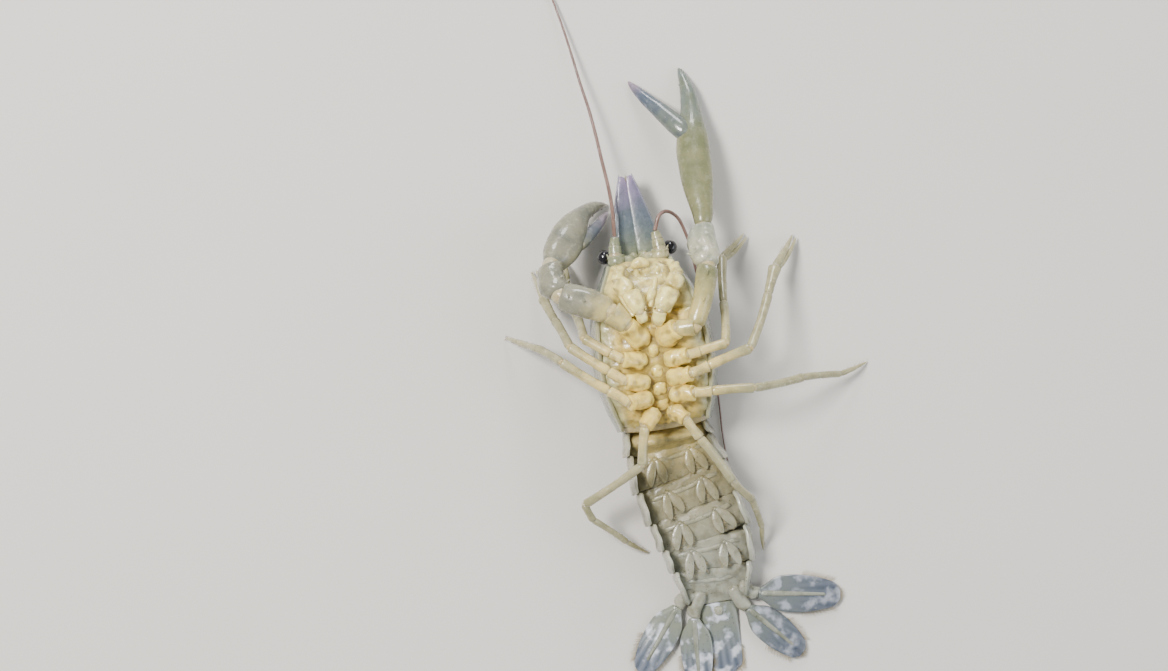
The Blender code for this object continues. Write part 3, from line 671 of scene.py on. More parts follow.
def carveShell(piece):
    # presses in the neck groove and the two heart lines, and swells the beads along the rims and ends
    groove, lines = shell["groove"], shell["heartLines"]
    normals = [vertex.normal.copy() for vertex in piece.data.vertices]
    for vertex, normal in zip(piece.data.vertices, normals):
        x, y, z = (vertex.co - origin) / mm
        wide, back, rim = shellAt(y)
        side = ease((z - back) / (rim - back) * 1.25)
        away = (y - mix(groove["back"], groove["side"], side)) / groove["wide"]
        push = -groove["deep"] * math.exp(-away * away) * (1 - ease((side - 0.8) / 0.2))
        line = (abs(x) - lines["x"]) / lines["wide"]
        low = 1 - ease((z - back) / 2.5)
        push -= lines["deep"] * math.exp(-line * line) * low * (1 - ease((y - lines["until"]) / 1.5))
        bead = (rim - z) / 0.5
        push += shell["rimBead"] * math.exp(-(bead - 0.6) ** 2 * 1.6)
        end = min(y, shellLong - y) / 0.8
        push += shell["endBead"] * math.exp(-end * end)
        vertex.co += normal * (push * mm)
    layFlat(piece)


def makeShell():
    stations = []
    for share in evenly(shell["steps"]):
        wide, back, rim = shellAt(shellLong * share)
        stations.append(((0, shellLong * share), 0.0, wide, back, rim))
    cover = growArch("thoraxShell", stations, 48)
    carveShell(cover)
    mark(cover, "pale", lambda co: 1.0 - (shellAt((co.y - origin.y) / mm)[2] - co.z / mm) / 1.8)
    thicken(cover, shell)
    parts = [cover, growLimb("beak", shell["beak"], 16)]
    for way in (-1, 1):
        for y, reach in shell["beakTeeth"]:
            rows = [((way * (reach * (0.5 if out == 0 else 1) + out), y + ahead, z), wide, high)
                    for out, ahead, z, wide, high in shell["toothRows"]]
            parts.append(growLimb("beakTooth", rows, 8, 1))
    paint("thoraxShell", *parts)
    handIn("thoraxShell", parts, "thorax_shell", "carapace")


makeShell()
print("crayfish: thorax shell made")


# Legs: places of the joints from the thorax outwards, then half widths at those joints

legs = {
    "leg_2_left": (
        ((1.7, 9.2, 12.8), (4.6, 9.5, 14.3), (10.2, 10.2, 13.2), (11.0, 16.0, 8.6), (11.9, 22.4, 4.2),
         (15.8, 25.5, 0.45)), (1.2, 0.78, 0.7, 0.62, 0.75, 0.2)),
    "leg_3_left": (
        ((1.7, 6.6, 12.8), (4.6, 6.8, 14.3), (13.5, 9.0, 13.6), (17.5, 16.2, 8.0), (19.2, 19.8, 5.2),
         (22.7, 24.2, 0.4)), (1.2, 0.8, 0.72, 0.66, 0.9, 0.24)),
    "leg_4_left": (
        ((1.7, 4.2, 12.6), (4.6, 4.1, 14.2), (13.2, 3.4, 13.6), (20.6, 3.7, 8.4), (26.2, 3.2, 3.2),
         (30.6, 4.3, 0.25)), (1.2, 0.78, 0.68, 0.6, 0.46, 0.17)),
    "leg_5_left": (
        ((1.2, 2.2, 12.2), (2.9, 0.6, 13.3), (8.2, -9.3, 11.2), (10.6, -12.4, 8.2), (11.6, -16.8, 3.6),
         (11.4, -20.4, 0.25)), (1.1, 0.74, 0.62, 0.55, 0.42, 0.17)),
    "leg_2_right": (
        ((-1.7, 9.6, 12.8), (-4.6, 10.2, 14.3), (-9.5, 14.0, 13.2), (-9.9, 16.9, 8.6), (-11.2, 21.6, 4.2),
         (-11.4, 26.0, 0.45)), (1.2, 0.78, 0.7, 0.62, 0.75, 0.2)),
    "leg_3_right": (
        ((-1.7, 6.6, 12.8), (-4.6, 7.0, 14.3), (-11.7, 13.2, 13.0), (-13.2, 17.2, 9.0), (-14.4, 20.6, 5.4),
         (-15.6, 24.8, 0.45)), (1.2, 0.78, 0.7, 0.62, 0.75, 0.2)),
    "leg_4_right": (
        ((-1.7, 4.2, 12.6), (-4.6, 4.0, 14.2), (-13.2, 11.2, 13.2), (-16.2, 13.6, 8.8), (-18.9, 14.9, 4.0),
         (-20.8, 15.9, 0.25)), (1.2, 0.78, 0.68, 0.58, 0.44, 0.17)),
    "leg_5_right": (
        ((-1.2, 2.2, 12.2), (-2.9, 0.4, 13.3), (-4.1, -5.0, 12.4), (-13.1, -9.4, 8.8), (-12.3, -11.8, 7.2),
         (-8.0, -15.9, 3.2), (-5.0, -18.2, 0.25)), (1.1, 0.74, 0.68, 0.6, 0.52, 0.42, 0.17)),
}
pincerLegs = ("leg_2_left", "leg_3_left", "leg_2_right", "leg_3_right")

# Share of an article's length with the factor on its width there
articleShape = ((0.0, 0.6), (0.015, 0.84), (0.05, 0.97), (0.13, 1.0), (0.3, 0.96), (0.5, 0.95), (0.72, 1.0),
                (0.88, 1.09), (0.95, 1.12), (0.98, 1.07), (0.985, 0.95), (0.96, 0.78))
tipShape = ((0.0, 0.55), (0.02, 0.82), (0.08, 0.98), (0.25, 1.06), (0.5, 1.0), (0.75, 0.84), (0.93, 0.6), (1.0, 0.14))
coxaShape = ((0.0, 0.7), (0.1, 1.0), (0.28, 1.2), (0.5, 1.18), (0.7, 1.06), (0.82, 1.08), (0.92, 1.08),
             (0.98, 0.96), (0.96, 0.7))
rootShape = ((0.0, 0.66), (0.03, 0.88), (0.12, 1.0), (0.35, 1.0), (0.6, 0.97), (0.82, 0.98), (0.93, 1.0), (0.98, 0.94),
             (0.985, 0.84), (0.95, 0.7))
armShape = ((0.0, 0.64), (0.015, 0.85), (0.05, 0.97), (0.15, 1.02), (0.3, 1.03), (0.5, 1.02), (0.7, 1.04), (0.86, 1.07),
            (0.94, 1.06), (0.975, 0.98), (0.98, 0.88), (0.94, 0.72))
wristShape = ((0.0, 0.7), (0.03, 0.9), (0.1, 1.04), (0.22, 1.06), (0.4, 1.02), (0.6, 1.0), (0.78, 1.06), (0.9, 1.14),
              (0.96, 1.08), (0.97, 0.96), (0.92, 0.76))


def jointSkin(place, wide, way=(0, 1, 0)):
    # the soft pleated skin that shows in a joint, facing along the limb
    place, step = Vector(place), Vector(way).normalized() * (wide * 0.8)
    half = ((0.92, 0.4), (0.74, 0.76), (0.45, 0.95), (0.3, 0.9))
    shape = [(-share, factor) for share, factor in half] + [(0.0, 1.0)] + list(half[::-1])
    rings = [(place + step * share, wide * factor, wide * factor) for share, factor in shape]
    return paint("membrane", growLimb("jointSkin", rings, 12, 1))


def splitRoot(joints, widths):
    # the first long article is parted into ischium and merus
    if len(joints) == 7:
        return joints, widths
    share = 0.3
    place = tuple(Vector(joints[1]).lerp(Vector(joints[2]), share))
    wide = mix(widths[1], widths[2], share)
    return (joints[0], joints[1], place, *joints[2:]), (widths[0], widths[1], wide, *widths[2:])


def makePincer(palm, tip):
    # the small finger beside the last article of a pincer leg
    along = (tip - palm).normalized()
    across = along.cross(up).normalized()
    base = palm - along * 0.5 + across * 0.3
    middle = palm.lerp(tip, 0.5) + across * 0.9
    end = tip + across * 0.7
    return growLimb("legFinger", (
        (base, 0.34, 0.34), (base.lerp(middle, 0.3) + across * 0.12, 0.42, 0.4), (middle, 0.34, 0.32),
        (middle.lerp(end, 0.55), 0.26, 0.25), (end, 0.05, 0.05)), 12)


def makeLeg(name):
    joints, widths = splitRoot(*legs[name])
    parts, skins = [], []
    last = len(joints) - 2
    for number in range(1, last + 1):
        start, end = Vector(joints[number]), Vector(joints[number + 1])
        tip = number == last
        wide = widths[number] * (0.8 if tip and name in pincerLegs else 1.0)
        parts.append(article("legPart", start, end, wide, widths[number + 1], tipShape if tip else articleShape,
                             bow=0.25 if tip else 0.08, sway=0.022 if number % 2 else -0.014))
        skins.append(jointSkin(start, widths[number] * 0.8, end - start))
    if name in pincerLegs:
        parts.append(makePincer(Vector(joints[-2]), Vector(joints[-1])))
    paint("leg", *parts)
    handIn(name.replace("_", "") + "Limb", parts + skins, "leg", name + "_upper", name + "_lower")


for legName in legs:
    makeLeg(legName)
print("crayfish: walking legs made")


# Claws: centre line with half width and half thickness

claws = {
    "left": {
        "line": (((1.7, 12.4, 12.6), 1.5, 1.4), ((3.6, 13.4, 14.6), 1.2, 1.1), ((6.2, 13.3, 15.0), 1.4, 1.35),
                 ((7.9, 16.6, 14.6), 1.4, 1.4), ((9.0, 20.2, 13.3), 1.55, 1.45), ((9.4, 21.5, 12.7), 1.4, 1.3),
                 ((9.3, 22.9, 11.9), 2.1, 1.7), ((9.1, 25.4, 10.2), 2.2, 1.8), ((9.8, 27.2, 8.9), 1.35, 1.2),
                 ((10.1, 29.2, 8.0), 1.6, 1.5), ((10.0, 32.6, 6.8), 2.15, 1.8), ((10.15, 36.5, 5.4), 2.5, 1.85),
                 ((10.4, 40.4, 4.0), 2.35, 1.6), ((10.85, 43.4, 3.0), 1.5, 1.2), ((10.9, 46.6, 2.0), 1.12, 0.9),
                 ((10.6, 49.0, 1.1), 0.75, 0.6), ((10.15, 50.7, 0.35), 0.14, 0.14)),
        "finger": (((10.0, 40.3, 4.6), 1.1, 0.9), ((9.1, 41.5, 4.3), 1.6, 1.2), ((7.5, 43.6, 3.1), 1.4, 1.08),
                   ((5.2, 46.3, 1.95), 1.05, 0.86), ((3.4, 48.6, 0.95), 0.68, 0.56), ((2.6, 49.9, 0.35), 0.14, 0.13)),
        "hub": 12, "fixed": 13, "finish": "clawLeft", "wristFinish": "clawWrist"},
    "right": {
        "line": (((-1.5, 12.4, 12.6), 1.5, 1.4), ((-3.2, 14.8, 14.6), 1.4, 1.15), ((-5.2, 17.1, 15.0), 1.9, 1.4),
                 ((-8.6, 19.1, 14.8), 2.2, 1.6), ((-10.6, 19.9, 14.5), 2.1, 1.6), ((-11.8, 20.6, 14.1), 1.8, 1.5),
                 ((-12.7, 21.8, 13.6), 2.1, 1.7), ((-13.0, 23.6, 12.5), 2.0, 1.6), ((-12.5, 24.9, 11.5), 1.7, 1.35),
                 ((-11.6, 26.1, 10.4), 2.2, 1.4), ((-9.9, 28.0, 8.6), 2.8, 1.6), ((-8.4, 29.7, 7.0), 2.4, 1.5),
                 ((-7.4, 31.6, 5.2), 1.3, 1.1), ((-5.6, 32.5, 3.3), 0.95, 0.85),
                 ((-4.0, 32.8, 1.5), 0.6, 0.5), ((-3.1, 32.6, 0.35), 0.14, 0.14)),
        "finger": (((-8.6, 27.1, 8.3), 0.9, 0.85), ((-7.9, 27.4, 7.8), 1.04, 0.94), ((-6.2, 28.7, 5.8), 1.02, 0.88),
                   ((-4.7, 30.0, 3.7), 0.78, 0.68), ((-3.6, 31.1, 1.9), 0.48, 0.46), ((-3.1, 31.6, 0.8), 0.1, 0.1)),
        "hub": 10, "fixed": 12, "finish": "clawRight", "wristFinish": "clawRight"},
}

# From the palm's end to the moving finger: share of the way, half width, half thickness
hingeRows = ((0, 1.0, 0.9), (0.4, 1.4, 1.15), (0.82, 1.34, 1.1), (1.02, 1.2, 0.95), (0.9, 0.95, 0.8))


def clawTeeth(line, other, size):
    # a row of blunt teeth along the cutting edge of one finger, towards the other finger
    count, teeth = 7, []
    for number in range(count):
        place, wide, thick = lineAt(line, mix(0.12, 0.82, number / (count - 1)) * (len(line) - 1))
        way = min((Vector(station[0]) - place for station in other), key=lambda gap: gap.length).normalized()
        tall = size * (1.25 if number % 3 == 1 else 0.85) * mix(1.0, 0.6, number / count)
        teeth.append(growLimb("tooth", [
            (place + way * (wide * out + tall * rise), tall * factor, tall * factor)
            for out, rise, factor in ((0.72, 0, 0.9), (1.02, 0, 0.8), (1.02, 0.8, 0.25))], 8, 1))
    return teeth


def spine(root, way, size, tall):
    root, way = Vector(root), Vector(way).normalized()
    return growLimb("spine", [(root + way * tall * share, size * factor, size * factor)
                              for share, factor in ((0, 1.0), (0.45, 0.7), (1, 0.08))], 8, 1)


def lineSkin(line, station, factor):
    # the joint skin at one station of a claw's line
    return jointSkin(line[station][0], line[station][1] * factor,
                     Vector(line[station + 1][0]) - Vector(line[station - 1][0]))


def makeClaw(side):
    claw, way = claws[side], ways[side]
    line, finger, shellLook = claw["line"], claw["finger"], claw["finish"]
    # arm: ischium and merus with its two spines
    arm = [lineArticle("ischium", line, 1, 2, rootShape), lineArticle("merus", line, 2, 5, armShape, 18)]
    for part in arm:
        knead(part, 0.1, 1.6, 2.0, 0.3)
    for station, size, tall in ((4, 0.32, 0.9), (3, 0.26, 0.6)):
        place, wide, thick = line[station]
        arm.append(spine(Vector(place) + up * (thick * 0.95), (way * 0.3, 0.9, 0.5), size, tall))
    paint(shellLook, *arm)
    arm += [lineSkin(line, 2, 0.78), lineSkin(line, 1, 0.8)]
    handIn(f"{side}ClawArm", arm, "claw", f"claw_{side}_arm")
    # wrist
    place, wide, thick = line[6]
    place = Vector(place)
    bits = [knead(lineArticle("wrist", line, 5, 8, wristShape, 18), 0.16, 1.2, 3.0, 0.5),
            spine(place + Vector((-way * wide * 0.9, 0.4, 0.1)), (-way, 0.6, 0.1), 0.3, 0.8),
            spine(place + Vector((-way * wide * 0.6, 1.2, thick * 0.6)), (-way, 0.9, 0.4), 0.24, 0.55)]
    paint(claw["wristFinish"], *bits)
    bits += [lineSkin(line, 5, 0.84), lineSkin(line, 8, 0.84)]
    handIn(f"{side}ClawWrist", bits, "claw", f"claw_{side}_wrist")
    # palm with the fixed finger
    palmLine = [(place, wide * 1.03, thick * 1.03) for place, wide, thick in line[9:]]
    for share, factor in ((0.5, 0.98), (0.2, 0.9), (0.06, 0.74), (0.0, 0.55)):
        place, wide, thick = lineAt(line, 8 + share)
        palmLine.insert(0, (place, wide * factor, thick * factor))
    hub, root = Vector(line[claw["hub"]][0]), Vector(finger[1][0])
    hinge = growLimb("hinge", [(hub.lerp(root, share), wide, thick) for share, wide, thick in hingeRows], 16)
    fixed = line[claw["fixed"]:]
    bits = [knead(growLimb("palm", palmLine, 20), 0.12, 2.2, 7.0), hinge] + clawTeeth(fixed, finger, 0.24)
    # blunt bumps along the inner edge of the palm
    lean = (root - hub).normalized()
    for number, share in enumerate(evenly(8)):
        place, wide, thick = lineAt(line, mix(9.3, claw["hub"] - 0.15, share))
        size = 0.34 - 0.016 * number
        spot = place + lean * (wide * 0.9) + up * (thick * 0.12)
        bits.append(spine(spot, lean + Vector((0, 0.5, 0.1)), size, size * 1.15))
    paint(shellLook, *bits)
    bits.append(jointSkin(root, 0.92, Vector(finger[2][0]) - root))
    handIn(f"{side}ClawPalm", bits, "claw", f"claw_{side}_palm")
    # moving finger
    moving = knead(growLimb("movingFinger", finger, 18), 0.06, 1.4, 5.0)
    bits = [moving] + clawTeeth(finger[1:], fixed, 0.2)
    paint(shellLook + "Tip", *bits)
    handIn(f"{side}ClawFinger", bits, "claw_tip", f"claw_{side}_finger")


for clawSide in claws:
    makeClaw(clawSide)
print("crayfish: claws made")


# Underside of the thorax: breast plate, leg bases and the small plates between them

breast = {
    "start": 0.25, "end": 16.6, "stations": 26, "plates": (10.9, 7.9, 5.4, 3.3, 1.2),
    # of a plate and of a leg's knob: ahead, up, half width, half thickness
    "plateRows": ((-1.1, -0.15, 0.5, 0.3), (-0.6, 0.08, 1.0, 0.4), (0, 0.2, 0.85, 0.45), (0.6, 0.1, 1.1, 0.4),
                  (1.1, -0.15, 0.45, 0.3)),
    "knobRows": ((-0.55, 0.55, 0.3, 0.25), (-0.3, 0.75, 0.62, 0.42), (0.3, 0.78, 0.6, 0.42), (0.6, 0.55, 0.28, 0.25)),
    "clawRoots": (1.6, 1.35), "neck": (3.0, 1.8, 0.9, 0.35, 0.2),
}


def makeCore(start, end, blunt):
    # the body inside the shell
    rings = []
    for share in evenly(10):
        y = mix(start, end, share)
        wide, back, rim = shellAt(y)
        close = 1 - blunt * ease((share - 0.8) / 0.2) ** 2
        rings.append(((0, y, (back + rim) / 2), (wide - 0.9) * close, ((rim - back) / 2 - 0.75) * close))
    return growLimb("core", rings, 32, 1)


def rootLines():
    # from and to where each leg and claw leaves the body, with its half width
    lines = [(Vector(joints[0]), Vector(joints[1]), widths[0]) for joints, widths in legs.values()]
    return lines + [(Vector(claw["line"][0][0]), Vector(claw["line"][1][0]), breast["clawRoots"][0])
                    for claw in claws.values()]


def nearRoots(co):
    # painted shade beside the leg and claw roots: 1 beside a leg root, falling to 0 about a millimetre away
    here = (co - origin) / mm
    nearest = 9.0
    for start, end, wide in rootLines():
        along = end - start
        share = within((here - start).dot(along) / along.length_squared)
        nearest = min(nearest, (here - start - along * share).length - wide)
    return 0.75 * (1 - nearest / 1.2)


def makeBreast():
    look = breast
    rings = []
    for share in evenly(look["stations"]):
        y = mix(look["start"], look["end"], share)
        wide, back, rim = shellAt(y)
        furrow = 0.12 * math.cos(2 * math.pi * (y - 2.2) / 2.45)
        end = 0.97 if share in (0, 1) else 1.0
        fall = 1.1 * (1 - ease((y - look["start"]) / 1.9))
        rings.append(((0, y, rim - 1.35 - fall), (wide * insideShare - 0.1) * end, (1.55 + furrow) * end))
    body = growLimb("breast", rings, 40, 1, square=0.6)
    knead(body, 0.35, 1.6, 1.0)
    knead(body, 0.12, 0.6, 4.0)
    # the breast is marked deep beside the leg roots, for painted shade there
    parts = [mark(body, "deep", nearRoots), makeCore(1.0, 15.5, 0)]
    for y, share in zip(look["plates"], evenly(4)):
        plate = lump("breastPlate", (0, y, shellAt(y)[2]), look["plateRows"], 1.05 * mix(0.8, 1.2, share))
        parts.append(shadeLow(knead(plate, 0.1, 0.7, y)))
    for joints, widths in legs.values():
        start, end = Vector(joints[0]), Vector(joints[1])
        along = end - start
        first, last = start - along * 0.12, end + along * 0.06
        root = article("coxa", first, last, widths[0], widths[1] * 1.4, coxaShape, 0.95, sides=18)
        knob = lump("knob", start, look["knobRows"], sides=12)
        seed = joints[0][1]
        parts += [shadeLow(knead(root, 0.16, 0.9, seed)), shadeLow(knead(knob, 0.1, 0.6, seed))]
    for claw in claws.values():
        start, end = Vector(claw["line"][0][0]), Vector(claw["line"][1][0])
        along = end - start
        root = article("coxa", start - along * 0.2, end + along * 0.1, *look["clawRoots"], coxaShape, 0.95, sides=20)
        parts.append(shadeLow(knead(root, 0.2, 1.1, 9.0)))
    paint("cream", *parts)
    # the soft skin that closes the shell's hind end
    rings = []
    for y in look["neck"]:
        wide, back, rim = shellAt(y)
        end = 0.96 if y == look["neck"][-1] else 1.0
        rings.append(((0, y, (back + rim) / 2 - 0.3), (wide - 0.6) * end, ((rim - back) / 2 - 0.8) * end))
    neck = growLimb("neck", rings, 36, 1, square=0.6)
    parts.append(paint("membrane", knead(neck, 0.1, 0.9, 6.0)))
    handIn("breastAndLegRoots", parts, "thorax_underside", "thorax_underside")


makeBreast()
print("crayfish: underside made")


# Mouth frame and jaw legs

mouth = {
    "start": 15.8, "end": 23.5, "stations": 12, "thin": 1.4,
    # aside, hind end, front end, half width
    "lobes": ((0.8, 19.2, 22.8, 0.78), (2.3, 20.0, 23.0, 0.72), (3.5, 18.4, 21.8, 0.62)),
    # of each inner jaw and of the lip: place, half width, half thickness
    "jaw": (((0.25, 17.6, 13.3), 0.3, 0.3), ((0.6, 18.0, 13.6), 0.6, 0.5), ((1.1, 19.0, 13.3), 0.8, 0.6),
            ((1.5, 20.0, 12.6), 0.5, 0.5)),
    "lip": (((-1.4, 23.1, 10.6), 0.4, 0.3), ((-0.7, 23.4, 10.8), 0.7, 0.45), ((0, 23.5, 10.9), 0.8, 0.5),
            ((0.7, 23.4, 10.8), 0.7, 0.45), ((1.4, 23.1, 10.6), 0.4, 0.3)),
    "palp": ((0.5, 16.9, 13.6), (1.9, 21.0, 13.1)),
    "maxillipeds": {
        "left": (((0.95, 14.2, 14.1), 0.7, 0.6), ((1.7, 16.2, 14.8), 1.1, 0.8), ((3.6, 18.9, 14.5), 1.5, 0.85),
                 ((5.0, 20.9, 13.7), 1.2, 0.8), ((4.6, 22.4, 12.5), 0.8, 0.65), ((3.1, 23.1, 11.8), 0.45, 0.4)),
        "right": (((-0.75, 14.9, 14.1), 0.6, 0.5), ((-1.1, 16.4, 14.6), 0.9, 0.7), ((-1.9, 19.2, 14.3), 1.35, 0.8),
                  ((-3.6, 21.2, 13.1), 1.2, 0.8), ((-3.2, 22.6, 12.2), 0.8, 0.65), ((-1.9, 23.2, 11.6), 0.45, 0.4))},
}


def makeMouth():
    look = mouth
    rings = []
    for share in evenly(look["stations"]):
        y = mix(look["start"], look["end"], share)
        wide, back, rim = shellAt(y)
        rings.append(((0, y, rim - look["thin"]), wide * insideShare - 0.14, 1.5))
    plate = knead(growLimb("mouthPlate", rings, 36, 1, square=0.6), 0.3, 1.5, 2.0)
    parts = [makeCore(look["start"] - 0.2, look["end"] + 0.6, 0.25), mark(plate, "deep", lambda co: 0.3)]
    for way in (-1, 1):
        for shift, start, end, wide in look["lobes"]:
            height = shellAt(end)[2] + 0.5
            rows = ((1, start, 0.1, 0.5, 0.3), (1, start + 0.5, 0.25, 1.0, 0.5), (1, (start + end) / 2, 0.3, 1.1, 0.58),
                    (0.96, end - 0.5, 0, 0.9, 0.5), (0.92, end, -0.2, 0.4, 0.3))
            lobe = growLimb("lobe", [((way * shift * out, y, height + rise), wide * factor, thick)
                                     for out, y, rise, factor, thick in rows])
            parts.append(shadeLow(knead(lobe, 0.12, 0.7, shift * way)))
        jaw = growLimb("jaw", [(sided(way, place), wide, thick) for place, wide, thick in look["jaw"]], 12)
        palp = article("palp", *[sided(way, place) for place in look["palp"]], 0.42, 0.34, articleShape)
        parts += [shadeLow(jaw), shadeLow(palp)]
    parts.append(growLimb("lip", look["lip"], 12))
    paint("mouthShell", *parts)
    handIn("mouthFrame", parts, "mouth", "mouth_frame")


def jawLeg(side):
    # basis, broad ischium with its toothed crest, merus and the three small end articles
    way = ways[side]
    places, wides = zip(*[(Vector(place), wide) for place, wide, thick in mouth["maxillipeds"][side]])

    def between(first, last, rows):
        # stations between two places: share of the way, half width, half thickness
        return [(places[first].lerp(places[last], share), wide, thick) for share, wide, thick in rows]

    ischium = growLimb("jawIschium", between(1, 2, (
        (0, 0.6, 0.5), (0.12, wides[1] * 1.05, 0.72), (0.5, wides[2] * 0.98, 0.84), (0.85, wides[2] * 1.06, 0.86),
        (1, wides[2] * 1.02, 0.82))) + between(2, 3, ((0.12, wides[2] * 0.86, 0.68), (0.2, wides[2] * 0.55, 0.48))), 18)
    merus = growLimb("jawMerus", between(2, 3, (
        (0.12, 0.8, 0.6), (0.28, wides[3] * 1.08, 0.8), (0.8, wides[3] * 1.12, 0.84), (1, wides[3] * 0.95, 0.75),
        (0.9, wides[3] * 0.6, 0.5))), 16)
    branch = places[1] + Vector((way * 1.0, -0.4, -0.1)), places[3] + Vector((way * 0.6, -0.4, -0.4))
    parts = [
        ischium, merus,
        article("jawBasis", places[0], places[1], wides[0] * 1.1, wides[1] * 0.9, coxaShape, 0.8, sides=16),
        article("jawCarpus", places[3], places[4], wides[3] * 0.8, wides[4] * 0.95, articleShape, 0.85),
        article("jawEnd", places[4], places[5], wides[4] * 0.9, wides[5], tipShape, 0.85),
        article("jawBranch", *branch, 0.42, 0.22, tipShape, sides=12)]
    for part in parts:
        shadeLow(knead(part, 0.1, 0.9, way))
    for step in evenly(8):
        share = mix(0.12, 0.92, step)
        root = places[1].lerp(places[2], share) + Vector((-way * mix(wides[1], wides[2], share) * 0.86, 0, 0.05))
        parts.append(growLimb("crestTooth", [
            (root + Vector((-way * out, ahead, 0)), wide, thick) for out, ahead, wide, thick in (
                (0, 0, 0.16, 0.14), (0.14, 0.04, 0.13, 0.12), (0.3, 0.08, 0.03, 0.03))], 8, 1))
    paint("mouthShell", *parts)
    parts += [jointSkin(places[1], 0.72), jointSkin(places[3], 0.66), jointSkin(places[4], 0.55)]
    handIn(f"{side}JawLeg", parts, "mouth", f"maxilliped_{side}")


makeMouth()
for jawSide in mouth["maxillipeds"]:
    jawLeg(jawSide)
print("crayfish: mouth made")


# Head: eyes, short feelers, long feelers and their scales

head = {
    "front": 23.9,
    "eye": {"root": (3.4, 23.9, 3.3), "bend": (4.4, 24.9, 3.4), "ball": (4.8, 25.1, 3.45), "radius": 1.06},
    # of the short feelers: ahead, half width and length of each stem part; aside of each whip
    "stem": ((-0.3, 0.48, 1.2), (0.9, 0.42, 0.8), (1.7, 0.38, 0.8)), "whips": (0.7, 1.5), "stemHigh": 4.12,
    # ring length, half width at the root and at the tip
    "shortWhip": (0.2, 0.22, 0.08), "whip": (0.21, 0.31, 0.1),
    # of a long feeler's base: places of its joints, then half widths at both ends and sides of each part
    "baseJoints": ((3.1, 23.4, 7.35), (3.2, 25.1, 7.5), (3.1, 26.4, 7.45), (2.9, 27.6, 7.4)),
    "baseParts": ((1.1, 1.2, 18), (0.98, 0.92, 16), (0.84, 0.6, 16)),
    # of its joint skins: place from the head's front, half width
    "baseSkins": (((3.2, 1.1, 7.5), 1.0), ((3.1, 2.45, 7.45), 0.75)),
    # beside each feeler's root: place from the head's front, half width, half height
    "rootLumps": (((1.75, -0.15, 7.1), 1.7, 1.05), ((0.7, 0.2, 6.1), 0.85, 0.8)),
    "lumpRows": ((-1.1, 0, 0.5, 0.5), (-0.7, 0, 0.9, 0.9), (0, 0, 1.0, 1.0), (0.8, -0.1, 0.8, 0.8),
                 (1.1, -0.2, 0.3, 0.3)),
    "feelers": {
        "left": ((2.9, 27.7, 7.4), (4.2, 30.0, 6.6), (6.0, 29.7, 4.8), (7.4, 26.6, 2.8), (8.0, 22.0, 1.3),
                 (8.3, 16.0, 0.7), (8.6, 9.0, 0.5), (8.4, 2.0, 0.45), (8.2, -5.0, 0.4), (9.0, -12.0, 0.35)),
        "right": ((-2.9, 27.7, 7.4), (-2.6, 32.5, 7.0), (-3.0, 39.0, 5.8), (-3.6, 46.0, 4.2), (-4.3, 50.5, 3.2),
                  (-4.9, 55.0, 2.2), (-5.7, 60.0, 1.3), (-6.8, 65.0, 0.7), (-8.2, 69.5, 0.4), (-9.8, 73.0, 0.3))},
}


def curveThrough(places, start, end):
    # a smooth path with the thickness that the whip has at each place
    data = bpy.data.curves.new("path", "CURVE")
    data.dimensions = "3D"
    data.resolution_u = 8
    path = data.splines.new("BEZIER")
    path.bezier_points.add(len(places) - 1)
    for knot, place, share in zip(path.bezier_points, places, evenly(len(places) - 1)):
        knot.co = thorax(place)
        knot.handle_left_type = knot.handle_right_type = "AUTO"
        knot.radius = mix(start, end, share)
    holder = bpy.data.objects.new("path", data)
    bpy.context.scene.collection.objects.link(holder)
    return holder


def makeWhip(name, places, ring, start, end):
    # one ring of the whip is modelled, repeated along the path and bent onto it
    path = curveThrough(places, start, end)
    whip = drawRing(name, 10, 0.88, "NOTHING", (0, math.pi / 2, 0))
    editAll()
    for step, factor in ((0.25, 1.1), (0.5, 1.06), (0.2, 0.86), (0.05, 0.98)):
        extrudeBy((ring * mm * step, 0, 0))
        bpy.ops.transform.resize(value=(1, factor, factor))
    bpy.ops.object.mode_set(mode="OBJECT")
    applyModifier(whip, "ARRAY", fit_type="FIT_CURVE", curve=path, use_merge_vertices=True, merge_threshold=0.00001)
    applyModifier(whip, "CURVE", object=path, deform_axis="POS_X")
    bpy.data.objects.remove(path)
    pick(whip)
    editAll()
    bpy.ops.mesh.remove_doubles(threshold=0.000004)
    bpy.ops.mesh.select_all(action="DESELECT")
    bpy.ops.mesh.select_non_manifold()
    bpy.ops.mesh.edge_face_add()
    faceOutwards()
    return paint("feeler", whip)


def makeEye(side):
    look, way = head["eye"], ways[side]
    root, bend, middle = [sided(way, look[name]) for name in ("root", "bend", "ball")]
    stalk = growLimb("stalk", (
        (root + Vector((0, -0.4, 0)), 0.62, 0.6), (root, 0.7, 0.66), (root.lerp(bend, 0.4), 0.62, 0.6),
        (bend, 0.86, 0.82), (middle, 1.0, 0.98)), 18)
    paint("scaleBlue", stalk)
    deselectAll()
    bpy.ops.mesh.primitive_uv_sphere_add(
        segments=32, ring_count=20, radius=look["radius"] * mm, location=thorax(middle))
    ball = bpy.context.object
    bpy.ops.object.transform_apply(location=True, rotation=True, scale=True)
    handIn(f"{side}Eye", [paint("eye", ball), stalk], "eye", f"eye_{side}")


def makeShortFeeler(side):
    front, way = head["front"], ways[side]
    parts = []
    for ahead, wide, length in head["stem"]:
        start = Vector((way, front + ahead, head["stemHigh"]))
        parts.append(article("stemPart", start, start + Vector((0, length, 0.02)), wide, wide * 0.9, articleShape))
    paint("scaleBlue", *parts)
    for aside in head["whips"]:
        turns = ((1, 2.2, 4.15), (aside, 4.8, 4.1), (aside * 1.1, 9, 3.9))
        path = [(way * x, front + ahead, z) for x, ahead, z in turns]
        parts.append(makeWhip("shortWhip", path, *head["shortWhip"]))
    handIn(f"{side}ShortFeeler", parts, "scale_blue", f"antennule_{side}")


